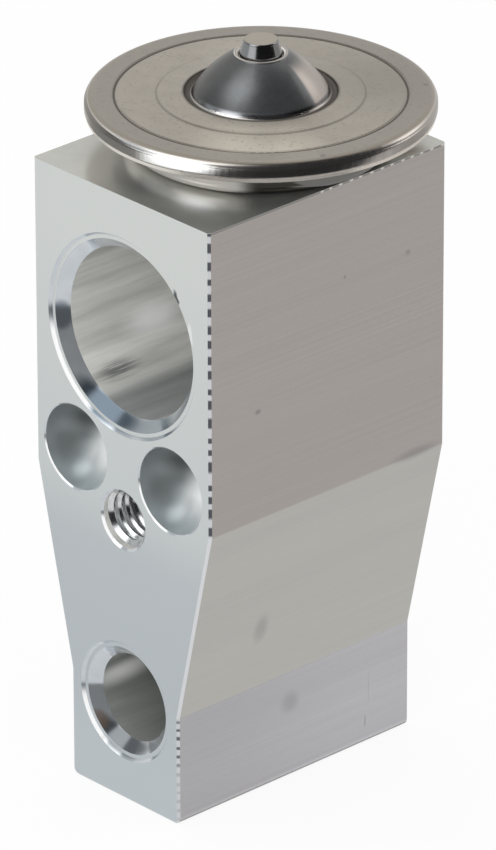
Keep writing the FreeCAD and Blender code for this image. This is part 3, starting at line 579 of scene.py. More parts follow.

# Chamfers of the ports, with painted reflections of the darker room in bluish patches and two brownish stains
SLOPE_COLOURS = ((0.58, 0.62, 0.66, 1), (0.70, 0.74, 0.77, 1))
SLOPE_REFLECTIONS_AND_STAINS = (
    ((-2.4, -15.1, 42.2), (6.6, 1.3, 3.0), (0.085, 0.115, 0.145, 1), 0.96),
    ((4.0, -15.1, 41.9), (4.6, 1.3, 2.8), (0.30, 0.35, 0.38, 1), 0.85),
    ((-9.3, -15.1, 49.4), (1.6, 1.3, 1.9), (0.16, 0.19, 0.23, 1), 0.8),
    ((-0.9, -15.1, 6.4), (4.6, 1.3, 2.5), (0.11, 0.12, 0.13, 1), 0.92),
    ((-7.0, -15.1, 47.3), (1.8, 1.2, 1.9), (0.34, 0.26, 0.21, 1), 0.6),
    ((-4.6, -15.1, 6.9), (1.6, 1.2, 1.5), (0.34, 0.22, 0.14, 1), 0.6),
)
slope_colour = mix_colours(tree, mottle, *SLOPE_COLOURS)
slope_colour = paint_spots(tree, slope_colour, point, SLOPE_REFLECTIONS_AND_STAINS, soft=0.45)

# The narrow rims of the holes carry a painted highlight, matt white, where they face right and up.
# On the big port's right edge a burr stands, drawn with painted shade above and a painted highlight below.
HOLE_RIM_HIGHLIGHT_SIDE = (0.82, 0.0, 0.57)
HOLE_RIM_HIGHLIGHT_FACING = (0.60, 0.67)
BURR_SHADE_AND_HIGHLIGHT = (
    ((7.6, -15.5, 57.1), (0.55, 0.6, 1.1), (0.05, 0.06, 0.08, 1), 0.9),
    ((9.6, -15.5, 53.9), (0.6, 0.6, 1.5), WHITE, 0.9),
)
hole_rim_facing_light = ramp(tree, facing_share(tree, normal, HOLE_RIM_HIGHLIGHT_SIDE), *HOLE_RIM_HIGHLIGHT_FACING)
hole_rim_highlights = both(tree, narrow_rims, hole_rim_facing_light)
# Painted highlight on the hole rims
slope_colour = paint(tree, slope_colour, hole_rim_highlights, WHITE)

# Edges between the milled ends and the sides: rows of chatter marks, none along the taper
EDGE_BARE, EDGE_CHATTER = (0.66, 0.67, 0.69, 1), (0.085, 0.09, 0.105, 1)
CHATTER_PARTED = (20.0, 21.0)
CHATTER_FADES, CHATTER_SHARES = (5.0, 8.0), (0.25, 0.9)
TAPER_HEIGHTS = (FOOT_Z - 0.6, FOOT_Z, SHOULDER_Z, SHOULDER_Z + 0.3)
chatter_high = use_group(tree, dashes, Along=z, Pitch=1.655, Start=33.87, Uneven=1.3)["Mask"]
chatter_low = use_group(tree, dashes, Along=z, Pitch=0.97, Start=8.5, Uneven=0.8, Sharp=0.45)["Mask"]
chatter_low = both(tree, chatter_low, mix_values(tree, ramp(tree, z, *CHATTER_FADES), *CHATTER_SHARES))
chatter = mix_values(tree, ramp(tree, z, *CHATTER_PARTED), chatter_low, chatter_high)
tapering = between(tree, z, *TAPER_HEIGHTS)
chatter = both(tree, chatter, opposite(tree, tapering))
edge_colour = mix_colours(tree, chatter, EDGE_BARE, EDGE_CHATTER)

# Top: milled finer than the ends, with painted reflections of the head above it, dark and light
TOP_COLOURS = ((0.545, 0.555, 0.525, 1), (0.62, 0.625, 0.59, 1))
TOP_REFLECTIONS = (
    ((0.6, -12.6, 65.4), (6.0, 2.6, 1.0), (0.27, 0.285, 0.285, 1), 0.75),
    ((6.6, -11.9, 65.4), (3.6, 2.2, 1.0), (0.93, 0.97, 1.0, 1), 0.8),
    ((11.6, 11.4, 65.4), (1.2, 2.4, 1.0), (0.25, 0.22, 0.18, 1), 0.75),
)
top_colour = mix_colours(tree, mottle, *TOP_COLOURS)
top_colour = paint_spots(tree, top_colour, point, TOP_REFLECTIONS, soft=0.95)

colour = bore_colour
for mask, over in ((in_bowl, bowl_colour), (on_sides, side_colour), (on_slopes, slope_colour),
                   (on_edges, edge_colour), (on_ends, end_colour), (on_top, top_colour)):
    colour = paint(tree, colour, mask, over)
# Painted shade and highlight of the burr on the big port's right edge
colour = paint_spots(tree, colour, point, BURR_SHADE_AND_HIGHLIGHT, soft=0.4)

BORE_ROUGH = (0.40, 0.28)
BOWL_ROUGH, SIDE_ROUGH, SLOPE_ROUGH = 0.38, 0.42, 0.13
EDGE_ROUGH, END_ROUGH, TOP_ROUGH = 0.35, 0.40, 0.22
roughness = mix_values(tree, bore_streaks, *BORE_ROUGH)
for mask, rough in ((in_bowl, BOWL_ROUGH), (on_sides, SIDE_ROUGH), (on_slopes, SLOPE_ROUGH),
                    (on_edges, EDGE_ROUGH), (on_ends, END_ROUGH), (on_top, TOP_ROUGH)):
    roughness = mix_values(tree, mask, roughness, rough)

# Worked surfaces scatter part of the light as a matt coat does, so they are not all metal
BORE_METAL = 0.10
BOWL_METAL, BOWL_METAL_ACROSS = (0.52, 0.15), (-1.2, 0.8)
TOP_METAL, SLOPE_METAL, HOLE_RIM_HIGHLIGHT_METAL, EDGE_METAL = 0.76, 0.74, 0.1, 0.4
DRAWN_DEPTH = 0.012
bowl_metal = mix_values(tree, ramp(tree, bowl_side, *BOWL_METAL_ACROSS), *BOWL_METAL)
metallic = mix_values(tree, in_bowl, BORE_METAL, bowl_metal)
bare_metal = stronger_of(tree, stronger_of(tree, on_sides, on_ends), on_top)
# The hole rims' painted highlight is laid on as matt white
for mask, metal in ((bare_metal, 1.0), (on_top, TOP_METAL), (on_slopes, SLOPE_METAL),
                    (hole_rim_highlights, HOLE_RIM_HIGHLIGHT_METAL), (on_edges, EDGE_METAL)):
    metallic = mix_values(tree, mask, metallic, metal)
drawn = bump(tree, both(tree, draw_lines, on_sides), DRAWN_DEPTH, strength=0.6)
finish(tree, shader, colour, roughness, drawn, metallic)
nodes["valve_block"].material_slots[0].material = block_aluminium


# Threads of the tapped holes
# Cut with a tap straight into the block: one for the pipe clamp in front, two for the
# evaporator plate behind, each a coarse single-start thread with shiny flanks.
THREAD_PITCH = 1.0
THREAD_ROOT = 2.99
THREAD_CREST = 2.52
THREAD_START = 0.22
STEPS_PER_TURN = 56
FADE_TURNS = 0.5
RIDGE_HALF = 0.46
CREST_HALF = 0.09
RIDGE_LINES = ((-RIDGE_HALF, 0), (-CREST_HALF, 1), (CREST_HALF, 1), (RIDGE_HALF, 0))
TAPPED_HOLES = (
    ("clamp_hole_thread", (0.0, -HALF_DEPTH, 30.7), 1, 10),
    ("plate_hole_thread_left", (-7.3, HALF_DEPTH, 33.5), -1, 9),
    ("plate_hole_thread_right", (7.3, HALF_DEPTH, 33.5), -1, 9),
)
FLANK_COLOURS = (grey(0.70, 0.02), grey(0.92, 0.01))
FLANK_ROUGH = (0.22, 0.12)
TORN = ((1.2, 3.0, 1.2), 1.8)
TORN_DEPTH = 0.01


def add_piece(name, made, material):
    """Makes an object with one material from a finished bmesh."""
    mesh = bpy.data.meshes.new(name)
    made.to_mesh(mesh)
    made.free()
    mesh.materials.append(material)
    piece = bpy.data.objects.new(name, mesh)
    bpy.context.collection.objects.link(piece)
    return piece


def helical_ridge(mouth, inward, turns_count):
    """A ridge in a hole along Y: two flanks and a crest, each its own strip."""
    made = bmesh.new()
    for near, far_line in zip(RIDGE_LINES, RIDGE_LINES[1:]):
        last = None
        for step in range(turns_count * STEPS_PER_TURN + 1):
            turn = step / STEPS_PER_TURN
            fade = min(1.0, turn / FADE_TURNS, (turns_count - turn) / FADE_TURNS)
            angle = 2 * math.pi * turn * inward
            pair = []
            for offset, is_crest in (near, far_line):
                reach = THREAD_ROOT - (THREAD_ROOT - THREAD_CREST) * fade * is_crest
                depth = THREAD_START + RIDGE_HALF + (turn + offset) * THREAD_PITCH
                ridge_x = mouth[0] + reach * math.cos(angle)
                ridge_z = mouth[2] + reach * math.sin(angle)
                pair.append(made.verts.new((ridge_x * MM, (mouth[1] + inward * depth) * MM, ridge_z * MM)))
            if last:
                face = made.faces.new((last[0], last[1], pair[1], pair[0]))
                face.smooth = True
            last = pair
    return made


cut_aluminium, tree, shader = new_material("cut aluminium")
torn = streaked(tree, use_group(tree, on_part)["Point"], *TORN)
colour = mix_colours(tree, torn, *FLANK_COLOURS)
torn_bump = bump(tree, torn, TORN_DEPTH, strength=0.4)
finish(tree, shader, colour, mix_values(tree, torn, *FLANK_ROUGH), torn_bump)
for name, mouth, inward, turns_count in TAPPED_HOLES:
    ridge = add_piece(name, helical_ridge(mouth, inward, turns_count), cut_aluminium)
    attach(ridge, "valve_body")


# Head covers
# Two stainless steel pressings, welded together at the rim; the upper one has a rolled
# bead round its edge, a scribed ring, and a bulging cone that carries the charge plug.
RIM_TOP = 70.55
GROOVE_RADIUS = 14.25
STEP_RADIUS = 10.15
MOAT_RADII = (6.65, 7.5)
CONE_LIP_RADIUS = 2.6
LIP_FACE_TOP = 69.1
LIP_UNDERSIDE = 68.6
DISH_FOOT = 67.0

# The rim's edge by the side it faces: painted shade at both ends as seen from the camera,
# deeper painted shade before the left one, and a painted highlight on the front left
RIM_AWAY = (0.6826, 0.7308, 0.0)
RIM_SHADED_ENDS_FACING = (0.64, 0.84)
RIM_HIGHLIGHT_FACING = (-0.72, -0.60, -0.30, -0.20)
RIM_DEEP_SHADE_FACING = (-0.99, -0.95, -0.72, -0.64)
RIM_HIGHLIGHT = (0.95, 0.94, 0.92, 1)
RIM_SHADE = (0.33, 0.31, 0.29, 1)
RIM_DEEP_SHADE = (0.13, 0.12, 0.11, 1)
RIM_LIP = (0.85, 0.80, 0.74, 1)
rim_light_and_shade, given = new_group(
    "rim light and shade",
    (("Normal", VECTOR, (0, 0, 1)),),
    (("Side", FLOAT), ("Shaded ends", FLOAT), ("Bright", FLOAT), ("Deep shade", FLOAT)),
)
side = facing_share(rim_light_and_shade, given["Normal"], RIM_AWAY)
shaded_ends = ramp(rim_light_and_shade, calculate(rim_light_and_shade, "ABSOLUTE", side), *RIM_SHADED_ENDS_FACING)
place(rim_light_and_shade, "NodeGroupOutput", {"Side": side, "Shaded ends": shaded_ends,
                                    "Bright": between(rim_light_and_shade, side, *RIM_HIGHLIGHT_FACING),
                                    "Deep shade": between(rim_light_and_shade, side, *RIM_DEEP_SHADE_FACING)})


# Paints the rim's highlight and shade
def paint_rim_light_and_shade(tree, colour, rim_shading):
    colour = paint(tree, colour, rim_shading["Bright"], RIM_HIGHLIGHT)
    colour = paint(tree, colour, rim_shading["Shaded ends"], RIM_SHADE, share=0.7)
    return paint(tree, colour, rim_shading["Deep shade"], RIM_DEEP_SHADE, share=0.7)


def lip_face(tree, z):
    return ramp(tree, z, LIP_FACE_TOP, LIP_FACE_TOP - 0.05)


stainless, tree, shader = new_material("pressed stainless")
where = use_group(tree, on_part)
point, z, from_axis = where["Point"], where["Z"], where["From axis"]
normal = surface_normal(tree)
facing = split(tree, normal)
GRAIN = (7.0, 1.6)
mottle = streaked(tree, point, *MOTTLE)
grain = streaked(tree, point, *GRAIN)

# The flat, with painted light in front and behind on the left, painted shade behind on the right, and darker
# outside the scribed ring
FLAT_COLOURS = ((0.42, 0.385, 0.33, 1), (0.50, 0.46, 0.40, 1))
FLAT_FACING = (0.96, 0.99)
FLAT_HEIGHTS = (RIM_TOP - 0.2, RIM_TOP - 0.1)
FLAT_RINGS = (9.6, 9.7, 14.8, 14.9)
ABOVE_GROOVES = (RIM_TOP - 0.5, RIM_TOP - 0.45)
OUTSIDE = (GROOVE_RADIUS - 0.1, GROOVE_RADIUS + 0.1)
SPECKS, SPECKS_FROM = (2.6, 2.4), (0.74, 0.98)
HEAD_LIGHT_AND_SHADE = (
    ((9.2, -6.0, 70.7), (8.8, 7.4, 2.0), (1.0, 0.93, 0.78, 1), 0.72),
    ((-9.0, 8.0, 70.7), (5.5, 5.5, 2.0), (0.62, 0.58, 0.51, 1), 0.4),
    ((6.5, 14.0, 70.7), (12.0, 10.0, 2.0), (0.27, 0.245, 0.21, 1), 0.55),
)
OUTSIDE_RING = (0.33, 0.305, 0.27, 1)
SPECK = (0.20, 0.18, 0.15, 1)
FLAT_GRAIN = (0.30, 0.275, 0.235, 1)
GRIME = (0.86, 0.86, 0.87, 1)
above_grooves = ramp(tree, z, *ABOVE_GROOVES)
in_rings = both(tree, between(tree, from_axis, *FLAT_RINGS), above_grooves)
level = both(tree, ramp(tree, z, *FLAT_HEIGHTS), ramp(tree, facing["Z"], *FLAT_FACING))
flat_top = stronger_of(tree, level, in_rings)
outside_ring = ramp(tree, from_axis, *OUTSIDE)
specks = ramp(tree, streaked(tree, point, *SPECKS, detail=1.0), *SPECKS_FROM)
flat_colour = mix_colours(tree, mottle, *FLAT_COLOURS)
# Painted light and shade on the flat
flat_colour = paint_spots(tree, flat_colour, point, HEAD_LIGHT_AND_SHADE, soft=0.9)
flat_colour = paint(tree, flat_colour, outside_ring, OUTSIDE_RING, share=0.7)
flat_colour = paint(tree, flat_colour, specks, SPECK, share=0.3)
flat_colour = paint(tree, flat_colour, grain, FLAT_GRAIN, share=0.14)
flat_colour = mix_colours(tree, 1.0, flat_colour, GRIME, "MULTIPLY")

# The scribed ring, the step and the moat round the cone are darkened, and the ring and the step
# are shaded as flat
DARK_LINE = (0.075, 0.065, 0.055, 1)
DARK_LINE_RINGS = ((GROOVE_RADIUS, 0.17, 0.85), (STEP_RADIUS, 0.15, 0.35), (MOAT_RADII[1] - 0.3, 0.62, 0.92))
DARK_LINE_CORE = 0.4
DARK_LINE_HEIGHTS = (RIM_TOP - 0.3, RIM_TOP - 0.2, RIM_TOP + 0.4, RIM_TOP + 0.5)
FLAT_SHADED_RINGS = ((GROOVE_RADIUS, 0.6), (STEP_RADIUS, 0.5))
FLAT_SHADED_SOFT = 0.05


def off_ring(tree, from_axis, ring_radius):
    return calculate(tree, "ABSOLUTE", calculate(tree, "SUBTRACT", from_axis, ring_radius))


dark_lines = None
for ring_radius, ring_half, dark in DARK_LINE_RINGS:
    ring_mask = ramp(tree, off_ring(tree, from_axis, ring_radius), ring_half, ring_half * DARK_LINE_CORE)
    dark_lines = stronger_of(tree, dark_lines, both(tree, ring_mask, dark))
dark_lines = both(tree, dark_lines, between(tree, z, *DARK_LINE_HEIGHTS))
shaded_flat = None
for ring_radius, reach in FLAT_SHADED_RINGS:
    ring_mask = ramp(tree, off_ring(tree, from_axis, ring_radius), reach, reach - FLAT_SHADED_SOFT)
    shaded_flat = stronger_of(tree, shaded_flat, ring_mask)
shaded_flat = both(tree, shaded_flat, above_grooves)

# Nicks on the rim
NICK = (0.07, 0.07, 0.075, 1)
NICKS = (
    ((14.98, -3.15, 70.5), (0.35, 0.45, 0.4), 0.45),
    ((16.39, 3.42, 70.0), (0.5, 0.5, 0.5), 0.8),
    ((16.2, 4.3, 70.1), (0.3, 0.35, 0.3), 0.6),
    ((9.54, 15.78, 70.5), (0.4, 0.25, 0.4), 0.5),
    ((1.2, -15.8, 69.9), (0.6, 0.5, 0.4), 0.6),
)
nicks = marks_mask(tree, point, NICKS, soft=0.6)

# The cone is darker, with a fine grain, darker still on the side away from its painted reflection on
# the right, with a painted sheen in front and a dark foot with a painted highlight at its front
CONE_COLOURS = ((0.13, 0.135, 0.135, 1), (0.21, 0.22, 0.23, 1))
CONE_SHEEN = ((1.2, -2.4, 72.6), (2.6, 2.2, 1.8), (0.30, 0.325, 0.35, 1), 0.35)
CONE_GRAIN = (0.085, 0.085, 0.09, 1)
CONE_DARK_SIDE = (0.075, 0.077, 0.075, 1)
CONE_REFLECTION = (0.55, 0.49, 0.45, 1)
CONE_FOOT, CONE_FOOT_SHINE = (0.12, 0.12, 0.125, 1), (0.52, 0.535, 0.56, 1)
REFLECTION_SIDE = 0.82
FOOT_FACING, FOOT_SHINES = (0.47, -0.88, 0.0), (0.55, 0.75)
CONE_REACH = (CONE_LIP_RADIUS - 0.05, CONE_LIP_RADIUS + 0.1, MOAT_RADII[0] - 0.05, MOAT_RADII[0] + 0.05)
CONE_FOOT_HEIGHTS = (RIM_TOP + 0.7, RIM_TOP + 0.35)
REFLECTION_AROUND, REFLECTION_OUTWARD, DARK_SIDE_AROUND = (0.77, 0.83), (3.0, 4.6), (-0.1, -0.6)
on_cone = between(tree, from_axis, *CONE_REACH)
to_reflection_side = calculate(tree, "COSINE", calculate(tree, "SUBTRACT", where["Around"], REFLECTION_SIDE))
cone_reflection = both(tree, ramp(tree, to_reflection_side, *REFLECTION_AROUND), ramp(tree, from_axis, *REFLECTION_OUTWARD))
cone_foot = ramp(tree, z, *CONE_FOOT_HEIGHTS)
foot_shine = both(tree, cone_foot, ramp(tree, facing_share(tree, normal, FOOT_FACING), *FOOT_SHINES))
cone_colour = mix_colours(tree, mottle, *CONE_COLOURS)
# Painted sheen at the front of the cone
cone_colour = paint_spots(tree, cone_colour, point, (CONE_SHEEN,), soft=0.9)
cone_colour = paint(tree, cone_colour, grain, CONE_GRAIN, share=0.45)
cone_colour = paint(tree, cone_colour, ramp(tree, to_reflection_side, *DARK_SIDE_AROUND), CONE_DARK_SIDE, share=0.55)
# Painted reflection on the cone's right
cone_colour = paint(tree, cone_colour, cone_reflection, CONE_REFLECTION, share=0.7)
cone_colour = paint(tree, cone_colour, cone_foot, CONE_FOOT)
# Painted highlight at the front of the cone's foot
cone_colour = paint(tree, cone_colour, foot_shine, CONE_FOOT_SHINE)

# The rounded rim, its lip and the dish under it; the dish is painted dark as shade and, low in front, carries
# a painted reflection of the block's top
RIM_BARE = (0.60, 0.57, 0.545, 1)
RIM_SHOULDER = (0.35, 0.32, 0.28, 1)
DISH_SHADE, DISH_REFLECTION = (0.19, 0.185, 0.175, 1), (1.0, 0.96, 0.92, 1)
SHOULDER_FACING, SHOULDER_REACH = (0.62, 0.86), (15.9, 16.1)
UNDER_LIP = (LIP_UNDERSIDE + 0.03, LIP_UNDERSIDE - 0.03)
DISH_FRONT, DISH_FOOT_HEIGHTS = (0.0, -0.2), (DISH_FOOT + 0.2, DISH_FOOT - 0.2)
rim_shading = use_group(tree, rim_light_and_shade, Normal=normal)
shoulder = both(tree, ramp(tree, facing["Z"], *SHOULDER_FACING), ramp(tree, from_axis, *SHOULDER_REACH))
under_lip = ramp(tree, z, *UNDER_LIP)
dish_front = ramp(tree, rim_shading["Side"], *DISH_FRONT)
dish_reflection = both(tree, ramp(tree, z, *DISH_FOOT_HEIGHTS), dish_front)
# The rim's painted highlight and shade
rim_colour = paint_rim_light_and_shade(tree, RIM_BARE, rim_shading)
rim_colour = paint(tree, rim_colour, shoulder, RIM_SHOULDER)
rim_colour = paint(tree, rim_colour, lip_face(tree, z), RIM_LIP)
# Painted shade under the lip, with a painted reflection low in front
rim_colour = paint(tree, rim_colour, under_lip, mix_colours(tree, dish_reflection, DISH_SHADE, DISH_REFLECTION))

colour = rim_colour
for mask, over in ((flat_top, flat_colour), (on_cone, cone_colour), (dark_lines, DARK_LINE), (nicks, NICK)):
    colour = paint(tree, colour, mask, over)

RIM_ROUGH, FLAT_ROUGH, DISH_ROUGH, SHOULDER_ROUGH = 0.25, 0.34, 0.16, 0.3
CONE_ROUGH, CONE_FOOT_ROUGH, DARK_LINE_ROUGH = 0.33, 0.2, 0.62
cone_rough = mix_values(tree, cone_foot, CONE_ROUGH, CONE_FOOT_ROUGH)
roughness = RIM_ROUGH
for mask, rough in ((flat_top, FLAT_ROUGH), (under_lip, DISH_ROUGH), (shoulder, SHOULDER_ROUGH),
                    (on_cone, cone_rough)):
    roughness = mix_values(tree, mask, roughness, rough)
roughness = stronger_of(tree, roughness, both(tree, dark_lines, DARK_LINE_ROUGH))

CONE_METAL, FLAT_METAL, DISH_METAL = 0.8, 0.65, 0.45
bare_cone = both(tree, on_cone, opposite(tree, cone_foot))
reflecting_dish = both(tree, under_lip, dish_reflection)
metallic = 1.0
for mask, metal in ((bare_cone, CONE_METAL), (flat_top, FLAT_METAL), (reflecting_dish, DISH_METAL)):
    metallic = mix_values(tree, mask, metallic, metal)

UPRIGHT = (0.0, 0.0, 1.0)
GRAIN_DEPTH = 0.004
grained = bump(tree, grain, GRAIN_DEPTH, strength=0.25)
flush = place(tree, "ShaderNodeMix", {0: shaded_flat, 4: grained, 5: UPRIGHT}, data_type="VECTOR").outputs[1]
finish(tree, shader, colour, roughness, flush, metallic)
for name in ("head_upper_cover", "head_lower_cover"):
    nodes[name].material_slots[0].material = stainless


# Rim weld
# The two covers and the diaphragm between them are fused all round the rim; the melted edge
# stands as a smooth band with fine ripples.
WELD_PROFILE = ((17.02, 70.10), (17.10, 69.98), (17.137, 69.87), (17.143, 69.70), (17.143, 69.25),
                (17.13, 69.10), (17.09, 69.00), (17.02, 68.94), (16.96, 68.92))
WELD_STEPS = 720
WELD_RIPPLE = 0.002
WELD_RIPPLES = 190
WELD_SWELLS = 7


def weld_band():
    """The profile turned round the valve's axis, kept inside the solids' box."""
    (low_x, _, _), (high_x, high_y, _) = cad_box
    made = bmesh.new()
    rows = []
    for step in range(WELD_STEPS):
        angle = 2 * math.pi * step / WELD_STEPS
        inset = WELD_RIPPLE * (1 + math.sin(angle * WELD_RIPPLES) * math.sin(angle * WELD_SWELLS)) / 2
        row = []
        for ring_radius, height in WELD_PROFILE:
            reach = ring_radius - inset
            band_x = min(max(reach * math.cos(angle) * MM, low_x), high_x)
            band_y = min((AXIS_Y + reach * math.sin(angle)) * MM, high_y)
            row.append(made.verts.new((band_x, band_y, height * MM)))
        rows.append(row)
    for row, after in zip(rows, rows[1:] + rows[:1]):
        for index in range(len(WELD_PROFILE) - 1):
            face = made.faces.new((row[index + 1], after[index + 1], after[index], row[index]))
            face.smooth = True
    return made


WELD_COLOURS = ((0.50, 0.475, 0.45, 1), (0.66, 0.64, 0.61, 1))
WELD_ROUGH = (0.28, 0.21)
WELD_CLOUDS, WELD_FINE = (0.8, 1.8), ((3.0, 3.0, 0.8), 1.8)
weld_steel, tree, shader = new_material("weld steel")
where = use_group(tree, on_part)
point, z = where["Point"], where["Z"]
ripple = streaked(tree, point, *WELD_FINE)
colour = mix_colours(tree, streaked(tree, point, *WELD_CLOUDS), *WELD_COLOURS)
# The rim's painted highlight and shade, as on the covers
colour = paint_rim_light_and_shade(tree, colour, use_group(tree, rim_light_and_shade, Normal=surface_normal(tree)))
colour = paint(tree, colour, lip_face(tree, z), RIM_LIP)

# The melted edge leans back above its widest line and turns under below it
WIDEST = 69.12
LEANS_BACK = -0.24
TURNS_UNDER = 0.6
RIPPLE_HEIGHT = 0.005
over_widest = calculate(tree, "SUBTRACT", z, WIDEST)
lean = calculate(tree, "MINIMUM", both(tree, over_widest, LEANS_BACK), both(tree, over_widest, TURNS_UNDER))
rolled = bump(tree, calculate(tree, "MULTIPLY_ADD", ripple, RIPPLE_HEIGHT, lean), 1.0)
finish(tree, shader, colour, mix_values(tree, ripple, *WELD_ROUGH), rolled)
rim_weld = add_piece("rim_weld", weld_band(), weld_steel)
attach(rim_weld, "valve_body")


# Charge plug
# A turned steel button, resistance welded into the cone's recess after filling. Its flank
# is polished and painted darker as shade, its top dull and warm.
PLUG_SHADED_FLANK, PLUG_TOP = grey(0.26, 0.03), (0.48, 0.44, 0.385, 1)
PLUG_MARK = (0.3, 0.28, 0.25, 1)
PLUG_ROUGH = (0.18, 0.4)
PLUG_TOP_FACING = (0.9, 0.98)
PLUG_MARK_DEPTH = 0.005
turned_marks, given = new_group(
    "turned marks",
    (("From axis", FLOAT, 0.0), ("Z", FLOAT, 0.0), ("Fineness", FLOAT, 6.0), ("Contrast", FLOAT, 1.5)),
    (("Value", FLOAT),),
)
ring_point = place(turned_marks, "ShaderNodeCombineXYZ", {0: given["From axis"], 1: given["Z"]})
ring_noise = place(turned_marks, "ShaderNodeTexNoise",
                   {"Vector": ring_point.outputs[0], "Scale": given["Fineness"], "Detail": 2.0},
                   noise_dimensions="2D")
centred = calculate(turned_marks, "SUBTRACT", ring_noise.outputs["Fac"], 0.5)
stronger = calculate(turned_marks, "MULTIPLY_ADD", centred, given["Contrast"], 0.5, clamp=True)
place(turned_marks, "NodeGroupOutput", {"Value": stronger})

plug_steel, tree, shader = new_material("plug steel")
where = use_group(tree, on_part)
marks = use_group(tree, turned_marks, From_axis=where["From axis"], Z=where["Z"], Fineness=9.0)["Value"]
plug_top = ramp(tree, split(tree, surface_normal(tree))["Z"], *PLUG_TOP_FACING)
# Painted shade on the plug's flank
colour = mix_colours(tree, plug_top, PLUG_SHADED_FLANK, PLUG_TOP)
colour = paint(tree, colour, marks, PLUG_MARK, share=0.2)
turned_bump = bump(tree, marks, PLUG_MARK_DEPTH, strength=0.4)
finish(tree, shader, colour, mix_values(tree, plug_top, *PLUG_ROUGH), turned_bump)
nodes["charge_plug"].material_slots[0].material = plug_steel


# Head neck
# A turned steel sleeve, brazed to the lower cover and screwed into the block; its thread
# fills the block's bore.
NECK_THREAD_PITCH = 1.5
NECK_THREAD_RADIUS = 8.94
NECK_COLOURS = (grey(0.38), grey(0.62, 0.02))
NECK_ROUGH = 0.3
TARNISH = (0.6, 2.0)
FLANK_HEIGHT, RING_HEIGHT = 2.0, 0.03
FLANK_DEPTH = 0.3
screw_lines, given = new_group(
    "screw lines",
    (("Z", FLOAT, 0.0), ("Around", FLOAT, 0.0), ("Pitch", FLOAT, 1.5)),
    (("Height", FLOAT),),
)
turn_share = calculate(screw_lines, "DIVIDE", given["Around"], 2 * math.pi)
pitches_up = calculate(screw_lines, "DIVIDE", given["Z"], given["Pitch"])
climbed = calculate(screw_lines, "SUBTRACT", pitches_up, turn_share)
place(screw_lines, "NodeGroupOutput", {"Height": calculate(screw_lines, "PINGPONG", climbed, 0.5)})


def lathe_finish(name, colours, roughness):
    """A material begun: rings round the valve's axis, faint tarnish, colour and roughness."""
    made, tree, shader = new_material(name)
    where = use_group(tree, on_part)
    marks = use_group(tree, turned_marks, From_axis=where["From axis"], Z=where["Z"])["Value"]
    tarnish = streaked(tree, where["Point"], *TARNISH)
    mixed = both(tree, calculate(tree, "ADD", marks, tarnish), 0.5)
    rough = mix_values(tree, tarnish, roughness * 1.25, roughness * 0.8)
    finish(tree, shader, mix_colours(tree, mixed, *colours), rough)
    return made, tree, shader, where, marks


def threaded_metal(name, colours, roughness, pitch, thread_radius):
    """Turned metal with thread flanks where it reaches the thread's radius."""
    made, tree, shader, where, marks = lathe_finish(name, colours, roughness)
    flank = use_group(tree, screw_lines, Z=where["Z"], Around=where["Around"], Pitch=pitch)["Height"]
    threaded = ramp(tree, where["From axis"], thread_radius - 0.1, thread_radius - 0.05)
    height = calculate(tree, "ADD", both(tree, flank, threaded, FLANK_HEIGHT), both(tree, marks, RING_HEIGHT))
    tree.links.new(bump(tree, height, FLANK_DEPTH), shader.inputs["Normal"])
    return made


nodes["head_neck"].material_slots[0].material = threaded_metal(
    "neck steel", NECK_COLOURS, NECK_ROUGH, NECK_THREAD_PITCH, NECK_THREAD_RADIUS)


# Rubber seals
# Three moulded O-rings: under the head, round the push rod and round the adjusting screw;
# black rubber with a faint mould line and a bloom of wax.
RUBBER, BLOOM = (0.014, 0.015, 0.016, 1), (0.05, 0.052, 0.055, 1)
RUBBER_ROUGH = (0.42, 0.62)
BLOOM_CLOUDS, PORES = (1.5, 2.5), (9.0, 1.5)
PORE_DEPTH = 0.01
seal_rubber, tree, shader = new_material("seal rubber", metallic=0.0)
point = use_group(tree, on_part)["Point"]
bloom = streaked(tree, point, *BLOOM_CLOUDS)
pores = streaked(tree, point, *PORES)
colour = paint(tree, RUBBER, bloom, BLOOM, share=0.6)
pitted = bump(tree, pores, PORE_DEPTH, strength=0.3)
finish(tree, shader, colour, mix_values(tree, bloom, *RUBBER_ROUGH), pitted)
for name in ("head_seal", "rod_oring", "adjusting_screw_oring"):
    nodes[name].material_slots[0].material = seal_rubber


# Diaphragm
# A thin stainless sheet, pressed into rings of waves and clamped between the covers; it
# keeps faint rings from the press tool.
DIAPHRAGM_COLOURS = (grey(0.46), (0.66, 0.64, 0.6, 1))
DIAPHRAGM_ROUGH = 0.2


def turned_metal(name, colours, roughness, depth=0.006):
    """Lathe-turned metal: its rings stand a little proud."""
    made, tree, shader, _, marks = lathe_finish(name, colours, roughness)
    tree.links.new(bump(tree, marks, depth, 0.5), shader.inputs["Normal"])
    return made


nodes["diaphragm"].material_slots[0].material = turned_metal(
    "diaphragm steel", DIAPHRAGM_COLOURS, DIAPHRAGM_ROUGH, depth=0.003)


# Diaphragm stop and sensing shaft
# Both turned from aluminium bar: the stop carries the diaphragm, the shaft stands in the
# suction passage and takes up its warmth.
SHAFT_COLOURS = (grey(0.58, 0.01), grey(0.82, 0.01))
SHAFT_ROUGH = 0.28
shaft_aluminium = turned_metal("shaft aluminium", SHAFT_COLOURS, SHAFT_ROUGH)
for name in ("diaphragm_stop", "sensing_shaft"):
    nodes[name].material_slots[0].material = shaft_aluminium


